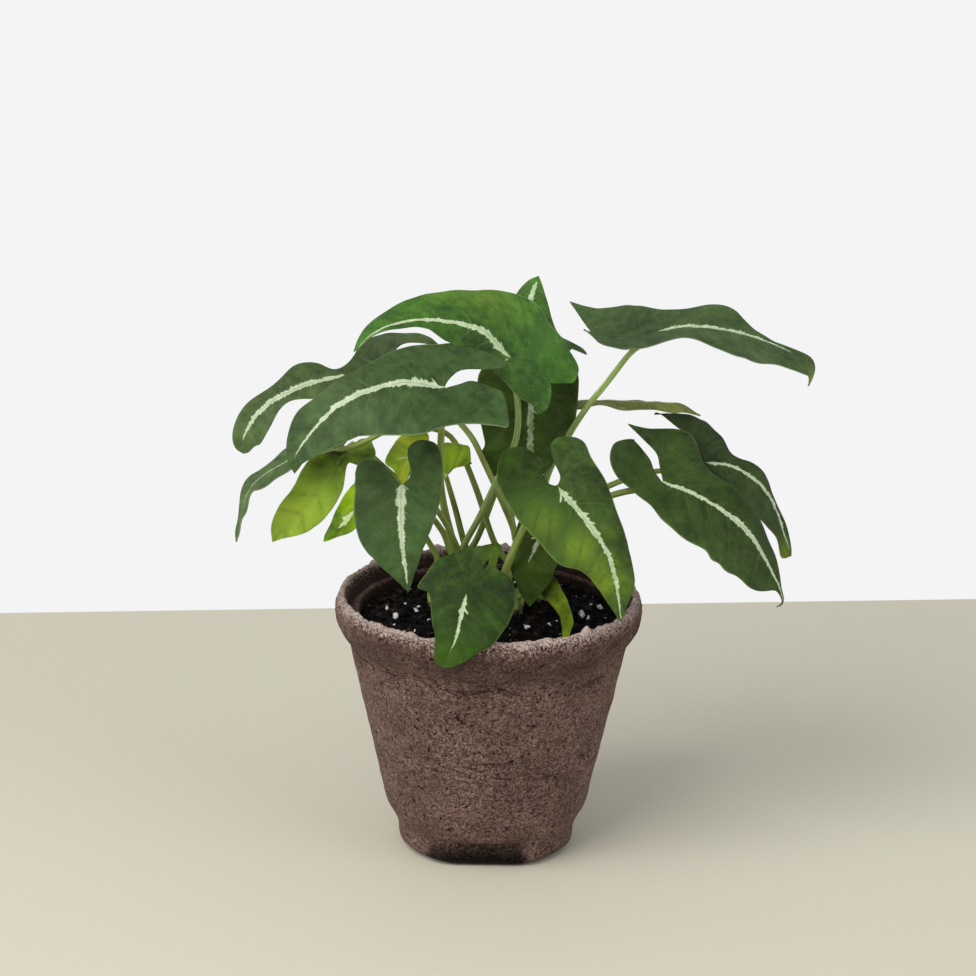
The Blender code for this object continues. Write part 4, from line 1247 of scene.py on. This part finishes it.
# %% The leaves over the pot's front
LEAVES.update({
    "front": (
        "mid_green",
        Blade(
            [(-8, -51, 115), (-10, -56, 108), (-12, -60, 100), (-17, -60, 90)],
            tone=(0.56, 0.63, 0.18),
            face=(0, -0.95, 0.31), slope=(0, 0, 0, 0), drop=(2, 1), wave=0.5,
            left=[(27.5, 3), (24.5, 5.5), (19, 9), (15, 14), (8, 17), (-1, 18), (-7, 16.3),
                  (-10.8, 12.8), (-11.6, 8.4), (-15.8, 7.8), (-21, 8.2), (-21.5, 5)],
            right=[(28, 3), (25, 5), (15, 9), (6, 12), (2.5, 14), (2, 18), (-4, 16), (-9, 14),
                   (-13, 9.5), (-16.5, 4), (-19, -1.5), (-20.8, -4.8)],
            notch=([(-5, 1.3), (-10.4, 3.2), (-12.1, 5.0), (-14.5, 4.6), (-18, 4.4)],
                   [(-3, -1.4), (-6, -2.2), (-9.8, -3.4), (-12.8, -3.6), (-15, -4.9), (-18, -5)]),
            stripe=[(0.02, 0.3), (0.08, 0.8), (0.2, 1.1), (0.4, 0.9), (0.6, 0.5), (0.78, 0.1)],
            fray=0.5,
            tints=[("yellow", -17, -7, 6, 0.45), ("dark", 1, 0, 13, 0.4), ("fresh", 24, 0, 13, 1.0),
                   ("fresh", 8, 12, 8, 0.4), ("dark", -8, -10, 9, 0.35)],
        ),
        "middle", 310, [(-1, -14, 109), (-2, -32, 117), (-5, -45, 119)],
    ),
    "front_right": (
        "mid_green",
        Blade(
            [(24, -32, 150), (36, -38, 137), (44, -42, 124), (48, -46, 103)],
            tone=(0.95, 0.9, 0.55),
            face=(0.3, -0.95, 0.4), slope=(10, 5, 10, 5), drop=(20, 20),
            notch=([(-2, 3), (-8, 5)],
                   [(-2, 1.8), (-4.5, 1.8), (-7, 0.9), (-9.2, -1.8), (-12, -2.6), (-15.4, -1.7)]),
            left=[(50, 3), (43, 7), (32, 8), (20, 11), (10, 15), (0, 16), (-6, 18), (-11, 16),
                  (-14, 12), (-13, 8)],
            right=[(51, 3), (44, 6.5), (33, 12), (24, 18.3), (12, 19.5), (0, 20.5), (-8, 19), (-15, 16),
                   (-20, 11), (-22.5, 5), (-18.5, -1)],
            stripe=[(0.02, 0.3), (0.07, 1.4), (0.2, 1.1), (0.34, 1.6), (0.42, 1.1), (0.7, 1.1),
                    (0.8, 0.8), (0.97, 0.3)],
            fray=0.5,
            tints=[("yellow", 24, 8, 7, 0.6), ("yellow", 39, 4, 8, 0.7), ("yellow", 31, 6, 6, 0.5),
                   ("yellow", 8, 13, 7, 0.3), ("yellow", 24, -4, 4, 0.25), ("dark", 8, -14, 12, 0.4),
                   ("dark", 30, -10, 13, 0.55), ("dark", -10, 4, 12, 0.3), ("dark", 20, -12, 10, 0.3),
                   ("fresh", 2, 12, 14, 0.8), ("fresh", 22, 6, 14, 0.8)],
        ),
        "east", 250, [(6, -14, 111), (13, -18, 131), (19, -26, 144)],
    ),
    "inner_right": (
        "deep_green",
        Blade(
            [(19, -6, 125), (17, -9, 119), (14, -12, 112), (15, -16, 98)],
            tone=(0.65, 0.7, 0.2),
            face=(0, -0.95, 0.31), slope=(0, 0, 0, 0),
            left=[(26, 4), (20, 9), (11, 10), (2, 9), (-6, 8), (-10, 5)],
            right=[(25, 3), (19, 5), (12, 8), (3, 9), (-5, 8), (-10, 5)],
            stripe=[(0, 0.6), (0.2, 1.1), (0.45, 0.3)], fray=0.5,
            tints=[("yellow", 4, 0, 24, 0.3), ("dark", -4, 0, 18, 0.6), ("dark", 16, 6, 10, 0.3)],
        ),
        "east", 110, [(10, 4, 109), (15, 2, 118)],
    ),
    "strap": (
        "yellow_green",
        Blade(
            [(19, -5, 106), (24, -14, 101.5), (28, -27, 98), (28, -41, 93.5)],
            tone=(1.1, 1.05, 0.5),
            face=(0, -0.95, 0.31), slope=(0, 0, 0, 0),
            left=[(39, 1), (34, 2), (28, 2.6), (20, 3.0), (12, 3.6), (4, 4), (-2, 2)],
            right=[(39, 1), (34, 1.8), (28, 1.7), (20, 2.2), (12, 3), (4, 4), (-2, 4)],
            fray=0.3,
            tints=[("dark", 4, 0, 16, 0.75), ("dark", 30, 0, 16, 0.5)],
        ),
        "east", 300, [(11, -5, 98), (15, -4, 102)],
    ),
})
print("rib lengths so far, mm:", [round(LEAVES[leaf][1].length) for leaf in LEAVES])

# %% [markdown]
# Four leaves reach out to the right, three of them long and deep green. One is
# seen nearly edge on, so little but its margin shows.

# %% The leaves at the right
LEAVES.update({
    "low_right": (
        "deep_green",
        Blade(
            [(63, -8, 144), (76, -14, 141), (93, -18, 130), (104, -21, 113), (107, -22, 106),
             (108, -22, 103), (105, -22, 101)],
            tone=(0.86, 0.84, 0.48),
            face=(0, -0.3, 1), slope=(12, -8, -12, -12), drop=(-45, -40),
            notch=([(-5, 6.5), (-9.5, 11.5), (-18.5, 13)], [(-5.5, -3.5), (-9.5, -7), (-15, -8.5)]),
            left=[(63, 0.8), (60.5, 0.8), (58, 2.5), (50, 7.5), (40, 10), (28, 12), (15, 14), (8.5, 17),
                  (5, 20.5), (1.5, 25), (-3, 28), (-8, 28), (-11.5, 26), (-15, 23), (-18, 19.5),
                  (-25.5, 12.5)],
            right=[(64, 1), (61, 1.5), (59, 7), (55, 12), (48, 15.5), (43, 19.5), (38, 19.5),
                   (33, 20.5), (28, 18.3), (18, 19), (8, 17), (0, 12), (-8, 9), (-15, 8),
                   (-21, 5.5), (-24, 1), (-23, -3), (-21, -6.5), (-19, -8.5)],
            stripe=[(0, 0.6), (0.08, 1.1), (0.3, 0.9), (0.5, 1.5), (0.75, 0.9), (0.9, 0.4),
                    (0.97, 0.1)],
            fray=0.5,
            tints=[("dark", 26, 0, 34, 0.3), ("dark", -10, 0, 14, 0.25), ("dark", 30, -10, 14, 0.4)],
        ),
        "east", 10, [(14, 2, 110), (22, 2, 121), (33, 0, 130), (42, -2, 136), (52, -5, 140)],
    ),
    "rear_right": (
        "deep_green",
        Blade(
            [(77, 14, 145), (90, 12, 144), (103, 10, 134), (112, 8, 111)],
            tone=(0.95, 0.85, 0.7),
            face=(0, -0.3, 1), slope=(12, -5, -12, -12), drop=(-35, -40),
            notch=([(-6, 12), (-13.5, 16.5), (-19, 18.3), (-22, 17.8)], None),
            left=[(52, 2), (43, 3), (33, 3), (27, 5), (24, 6.5), (18, 6), (12, 5.5), (9, 10),
                  (6.5, 16.5), (1, 21.5), (-3, 23), (-9, 25), (-16, 22.5), (-22, 16)],
            right=[(53.5, 6), (50, 5), (46, 4.5), (43, 6.5), (38, 10), (24, 13), (10, 13), (0, 11),
                   (-7, 9), (-11, 5)],
            stripe=[(0.05, 0.7), (0.5, 1.2), (0.95, 0.4)], fray=0.8,
            tints=[("dark", 4, 0, 26, 0.4), ("dark", 44, 0, 14, 0.3), ("yellow", 53, 4, 6, 0.7)],
        ),
        "rear", 300, [(22, 13, 112), (29, 15, 124), (37, 14, 131), (45, 14, 136), (59, 14, 141)],
    ),
    "high_right": (
        "deep_green",
        Blade(
            [(55, -4, 199), (71, -6, 203), (91, -8, 201), (108, -10, 195), (116, -10, 190),
             (115, -10, 182)],
            tone=(1.2, 1.1, 1.1),
            face=(0, 0, 1), slope=(20, 8, -5, -14), drop=(0, -25), bend=(0, 0),
            notch=([(-5, 0.2), (-12, 1.6), (-19, 6)], [(-6, -1), (-12, -2.2)]),
            left=[(69, 4), (58, 3), (46, 4), (38, 7), (30, 15), (23, 16), (14, 13), (4, 15),
                  (-8, 20.5), (-18, 24), (-29, 31)],
            right=[(71.5, 3), (69, 6.5), (65, 9.5), (60, 11), (52, 14), (45, 21), (36, 20),
                   (27, 15), (17, 12), (8, 15),
                   (0, 14), (-8, 10), (-16, 6), (-23, -4)],
            stripe=[(0.1, 1.3), (0.5, 1.1), (0.75, 0.5)], fray=1.2,
            tints=[("dark", 0, 0, 22, 0.3), ("dark", 60, 2, 12, 0.3), ("yellow", 72, 2, 8, 0.8)],
        ),
        "rear", 0, [(18.3, 17, 116), (20.4, 16, 137), (28.2, 12, 155), (35.4, 6, 169), (41, 4, 177),
                    (50, -1, 191)],
    ),
    "level_right": (
        "bright_green",
        Blade(
            [(29, 34, 162), (44, 34, 162.5), (61, 34, 162), (70, 34, 161.5), (78, 34, 157)],
            tone=(1.08, 0.8, 2.1),
            face=(0, 0.2, 1), slope=(-8, -8, -5, -38), drop=(20, 20),
            left=[(43, 2), (33, 7), (18, 11), (4, 12), (-4, 11), (-8, 5)],
            right=[(48, 1.5), (43, 4), (37, 7), (31, 7), (25, 6), (18, 8), (10, 8), (4, 10), (-4, 10),
                   (-8, 5)],
            stripe=[(0, 0.7), (0.8, 0.4)], fray=0.5,
            tints=[("dark", 16, 0, 26, 0.4), ("dark", 40, 0, 12, 0.2)],
        ),
        "rear", 50, [(16, 28, 116), (18, 36, 134), (22, 40, 150)],
    ),
})
print("rib lengths so far, mm:", [round(LEAVES[leaf][1].length) for leaf in LEAVES])

# %% [markdown]
# The last two stand at the back: a small upright one, and a dark one in the
# middle, which is seen between the stalks and whose darker green is painted
# shade.

# %% The leaves at the back
LEAVES.update({
    "rear_top": (
        "mid_green",
        Blade(
            [(14, 30, 183), (13, 42, 189), (14, 52, 196), (17, 60, 203)],
            tone=(1.1, 0.95, 1.05),
            face=(0, -0.6, 1), slope=(-20, -20, -20, -20), drop=(20, 20),
            left=[(34, 3.5), (28, 7), (22, 8.5), (10, 9), (-5, 9), (-9, 5)],
            right=[(33, 3), (27, 7), (20, 9.5), (14, 12), (11.5, 15), (11, 19.5), (9.5, 23.5),
                   (5, 24.5), (6.5, 21), (5.5, 17), (-4, 14), (-10, 6)],
            stripe=[(0.4, 0.6), (0.6, 1.5), (0.9, 0.8)], fray=0.3,
            tints=[("dark", 18, 0, 16, 0.3), ("dark", 6, 20, 7, 0.7)],
        ),
        "rear", 100, [(8, 26, 118), (11, 28, 140), (12, 28, 164)],
    ),
    "centre": (
        "dark_green",
        Blade(
            [(14.5, 14, 174), (14.5, 12, 161), (14, 10, 148), (12, 8, 138)],
            tone=(1.28, 1.26, 0.95),
            face=(0, -1, 0.1), slope=(0, 0, 0, 0), drop=(20, 20),
            left=[(35, 4), (27, 10), (15, 16), (3, 17.5), (-5, 17), (-9, 13), (-10, 8)],
            right=[(38, 9), (36, 14), (31.5, 17.5), (27.5, 17.8), (24, 16.6), (20, 17.4), (15.5, 18.5),
                   (3, 20), (-5, 19), (-9, 13), (-10, 8)],
            stripe=[(0.1, 0.8), (0.25, 1.5), (0.5, 1.2), (0.7, 1.4), (0.8, 0.4)], fray=0.5,
            tints=[("dark", 15, 0, 40, 0.35)],
        ),
        "west", 90, [(-15, 20, 102), (-6, 22, 109), (2, 22, 130), (10, 22, 148)],
    ),
})
print("leaves:", len(LEAVES))

# %% [markdown]
# ## Stalks
# Each blade stands on a petiole. It is a fleshy stalk with a groove along its
# inner face, and its lower part opens into a thin-edged sheath that once
# wrapped the next leaf. A bevelled curve would give a plain round stalk, with
# no groove and no sheath. So it is laid like the blades, ring by ring along a
# smooth line, from a grid primitive whose two long edges are then merged.

# %% The section of a stalk
PETIOLE_RINGS = 44
PETIOLE_SIDES = 16
GROOVE = 0.28  # the groove's depth over the radius


def stalk_ring(centre, back, side, radius, spread):
    """One ring of a stalk: a groove on its inner face, and a wing on each side."""
    ring = []
    for corner in range(PETIOLE_SIDES + 1):
        angle = 2 * math.pi * corner / PETIOLE_SIDES
        inward = max(0.0, -math.cos(angle))
        out = radius - GROOVE * radius * inward ** 6
        flare = spread * max(0.0, math.sin(angle) ** 2 - 0.5) * 2 * (inward + 0.3)
        ring.append(centre + back * out * math.cos(angle)
                    + side * (out + flare) * math.sin(angle))
    return ring


def close_tube():
    """Merge the long edges of the active grid, and close its two ends."""
    bpy.ops.object.mode_set(mode="EDIT")
    bpy.ops.mesh.select_all(action="SELECT")
    bpy.ops.mesh.remove_doubles(threshold=0.01 * MM)
    bpy.ops.mesh.select_all(action="DESELECT")
    bpy.ops.mesh.select_mode(type="EDGE")
    bpy.ops.mesh.select_non_manifold()
    bpy.ops.mesh.edge_face_add()
    bpy.ops.mesh.select_all(action="SELECT")
    bpy.ops.mesh.normals_make_consistent(inside=False)
    bpy.ops.mesh.select_mode(type="VERT")
    bpy.ops.object.mode_set(mode="OBJECT")


print("rings and sides of a stalk:", PETIOLE_RINGS + 1, PETIOLE_SIDES)

# %% [markdown]
# The stalks stand in a ring on four short stems and thin a little on their way
# up. Some are stouter and have a wider sheath than others, which is what makes
# a crowded foot look grown. Each way starts straight up from its stem, follows
# a few points, and enters its blade from below.

# %% Petioles
CROWN_TOP = 96.0
CROWNS = {"west": (-18, 7), "middle": (-5, 11), "east": (8, 3), "rear": (17, 15)}
FOOT_RING, FOOT_SUNK, FOOT_RISE = 3.6, 4.5, 6.5  # where on its stem a stalk starts
HUB_BELOW, NECK_BELOW = 0.6, 2.8
NECK_FROM, NECK_LONG, NECK_THINS = 0.95, 0.05, 0.45  # the last twentieth thins
PLAIN_GIRTH = (1.4, 1.0)
GIRTH = {  # radius at the foot and at the top
    "far_left": (1.55, 1.0), "high_right": (1.7, 1.05), "front_left": (1.5, 1.2),
    "front_right": (1.6, 1.2), "crest": (1.3, 1.15), "low_right": (1.6, 1.2),
}
PLAIN_SHEATH = (0.28, 0.6)
SHEATH = {  # the share of the stalk that it reaches up, and its width
    "front_right": (0.5, 2.2), "high_right": (0.45, 1.2), "front_left": (0.35, 0.9),
    "crest": (0.3, 0.6), "low_right": (0.30, 1.1), "rear_right": (0.30, 0.9),
    "far_left": (0.4, 1.3),
}


def stalk_line(blade, crown, bearing, path):
    """The middle line of a stalk, from its stem to the blade's hub."""
    middle, angle = CROWNS[crown], math.radians(bearing)
    foot = np.array([middle[0] + FOOT_RING * math.cos(angle),
                     middle[1] + FOOT_RING * math.sin(angle), CROWN_TOP - FOOT_SUNK])
    hub = blade.rib[0] - blade.up[0] * HUB_BELOW
    neck = blade.rib[0] - blade.up[0] * NECK_BELOW
    points = [foot, foot + [0, 0, FOOT_RISE]] + [np.array(spot, float) for spot in path]
    return smooth_line(points + [neck, hub], PETIOLE_RINGS)


def dress_petiole(leaf, blade, crown, bearing, path, finish):
    """A grooved, tapering stalk from its stem to the blade's hub."""
    line, length = stalk_line(blade, crown, bearing, path)
    outward = unit(line[-1] - line[0] + [0.01, 0, 0])
    thick, thin = GIRTH.get(leaf, PLAIN_GIRTH)
    reach, wing = SHEATH.get(leaf, PLAIN_SHEATH)
    rows, marks = [], []
    back = np.array([outward[0], outward[1], 0.0])
    if np.linalg.norm(back) < 0.2:
        back = np.array([0.0, -1.0, 0.0])
    for step, (centre, heading) in enumerate(zip(line, np.gradient(line, axis=0))):
        heading = unit(heading)
        back = unit(back - np.dot(back, heading) * heading)
        share = step / PETIOLE_RINGS
        radius = thick + (thin - thick) * share
        radius *= 1 + 0.06 * noise.noise(Vector(centre) / 9)
        if share > NECK_FROM:
            radius *= 1 - NECK_THINS * (share - NECK_FROM) / NECK_LONG
        spread = wing * max(0.0, 1 - share / reach) ** 0.5
        spread *= 0.7 + 0.3 * math.sin(9 * share + len(leaf))
        rows.append(stalk_ring(centre, back, np.cross(heading, back), radius, spread))
        marks += [(length * share, corner / PETIOLE_SIDES, share)
                  for corner in range(PETIOLE_SIDES + 1)]
    made = laid_grid("stalk_" + leaf, rows)
    carry(made.data, "flat", marks)
    close_tube()
    bpy.ops.object.shade_smooth()
    made.data.materials.append(finish)
    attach(made, "root")
    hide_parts("petiole_" + leaf)
    return made


print("stems, and stalks with a girth of their own:", len(CROWNS), len(GIRTH))

# %% [markdown]
# The stalk's skin is yellow-green and shinier than the leaves, and paler low
# down, where the sheath kept the light away. Pale lines run along it over its
# strengthening strands, and it has small brown scars. The strands are read
# from the numbers that each stalk carries, so they bend with it.

# %% The stalk finish
def stalk_finish(name, green, fresh, pale):
    """Skin of a stalk: two greens, paler low down and in lines along it."""
    made, tree, shader = new_finish(name, 0.4)
    flat = add(tree, "Attribute", attribute_name="flat")["Vector"]
    share = add(tree, "SeparateXYZ", [flat])["Z"]
    low_down = add(tree, "MapRange", (share, 0.15, 0.6, 0.5, 0.0))[0]
    lines = add(tree, "Mapping", {"Vector": flat, "Scale": (0.07, 14.0, 0.0)})[0]
    strand = add(tree, "TexNoise", {"Vector": lines, "Scale": 1.0, "Detail": 3.0})["Fac"]
    strand = add(tree, "MapRange", (strand, 0.35, 0.7))[0]
    spot = add(tree, "TexCoord")["Object"]
    mottle = add(tree, "TexNoise", {"Vector": spot, "Scale": 120.0, "Detail": 3.0})["Fac"]
    scar = add(tree, "TexNoise", {"Vector": spot, "Scale": 420.0, "Detail": 1.0})["Fac"]
    scar = add(tree, "MapRange", (scar, 0.72, 0.78, 0.0, 0.7))[0]
    skin = linear(green)
    for colour, amount in ((fresh, mottle), (pale, strand), (pale, low_down), ("#6b5636", scar)):
        skin = add(tree, "Mix", {0: amount, 6: skin, 7: linear(colour)}, data_type="RGBA")[2]
    tree.links.new(skin, shader.inputs["Base Color"])
    bump = add(tree, "Bump", {"Height": strand, "Strength": 0.3, "Distance": 0.3 * MM})
    tree.links.new(bump[0], shader.inputs["Normal"])
    shader.inputs["Subsurface Weight"].default_value = 0.15
    shader.inputs["Subsurface Scale"].default_value = 0.8 * MM
    shader.inputs["Subsurface Radius"].default_value = (0.7, 1.0, 0.3)
    return made


stalk_skin = stalk_finish("petiole_skin", "#465a1b", "#7a8e32", "#a9ba62")
pale_stalk_skin = stalk_finish("pale_petiole_skin", "#566c24", "#7d9646", "#a9bd74")
stem_skin = stalk_finish("old_stem_skin", "#33301a", "#565430", "#6e6b44")
print("stalk finishes:", [skin.name for skin in (stalk_skin, pale_stalk_skin, stem_skin)])

# %% [markdown]
# Now every leaf gets its blade and its stalk. Two blades over the pot's front
# take a darker copy of the mid green, as painted shade, and one takes the skin
# of another age.

# %% Dress the leaves
SKINS = {"front": "shaded_mid_green", "front_right": "shaded_mid_green", "level_right": "yellow_green"}
PALE_STALKS = ("crest", "high_right")

for leaf, (green, blade, crown, bearing, path) in LEAVES.items():
    skin = SKINS.get(leaf, green)
    made = dress_blade(leaf, blade, FINISHES[skin], UNDERSIDES[skin])
    finish = pale_stalk_skin if leaf in PALE_STALKS else stalk_skin
    dress_petiole(leaf, blade, crown, bearing, path, finish)
print("leaves dressed:", len(LEAVES))

# %% [markdown]
# A short stub of stem, ringed by old leaf scars, stands in the mix under every
# group of stalks. It is made like the pot, from a disc that is extruded ring by
# ring, with a narrow ring for every scar, and noise then makes it lumpy.

# %% Stems
STEM_SIDES = 28
STEM_PROFILE = [  # radius and height of its rings
    (4.8, 88.0), (4.9, 89.5), (4.5, 90.4), (4.7, 91.0), (4.2, 92.0), (4.3, 92.4), (3.6, 93.4),
    (2.4, 94.0), (0.9, 94.2),
]
STEM_LUMPS, STEM_FLATTER = 0.16, 0.9


def dress_crown(side, x, y, finish):
    """A lumpy stub of stem, ringed by leaf scars, that stands at x, y."""
    radius, height = STEM_PROFILE[0]
    bpy.ops.mesh.primitive_circle_add(vertices=STEM_SIDES, radius=radius * MM, fill_type="NGON",
                                      location=(0, 0, height * MM))
    made = bpy.context.object
    made.name = "stem_" + side
    bpy.ops.object.mode_set(mode="EDIT")
    bpy.ops.mesh.select_all(action="SELECT")
    bpy.ops.mesh.flip_normals()
    lift_rings(STEM_PROFILE)
    bpy.ops.mesh.select_all(action="SELECT")
    bpy.ops.mesh.normals_make_consistent(inside=False)
    bpy.ops.object.mode_set(mode="OBJECT")
    bpy.ops.object.transform_apply()
    for point in made.data.vertices:
        spot = point.co / MM
        lump = noise.noise(Vector((spot.x * 2 + x, spot.y * 2 + y, spot.z)) / 5)
        grow = 1 + STEM_LUMPS * lump
        point.co.x = (spot.x * grow + x) * MM
        point.co.y = (spot.y * grow * STEM_FLATTER + y) * MM
    smooth = made.modifiers.new("smooth", "SUBSURF")
    smooth.levels = smooth.render_levels = 1
    bpy.ops.object.modifier_apply(modifier="smooth")
    bpy.ops.object.shade_smooth()
    made.data.materials.append(finish)
    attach(made, "root")
    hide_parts("crown_" + side)
    return made


for side, (x, y) in CROWNS.items():
    dress_crown(side, x, y, stem_skin)
print("stems:", len(CROWNS))
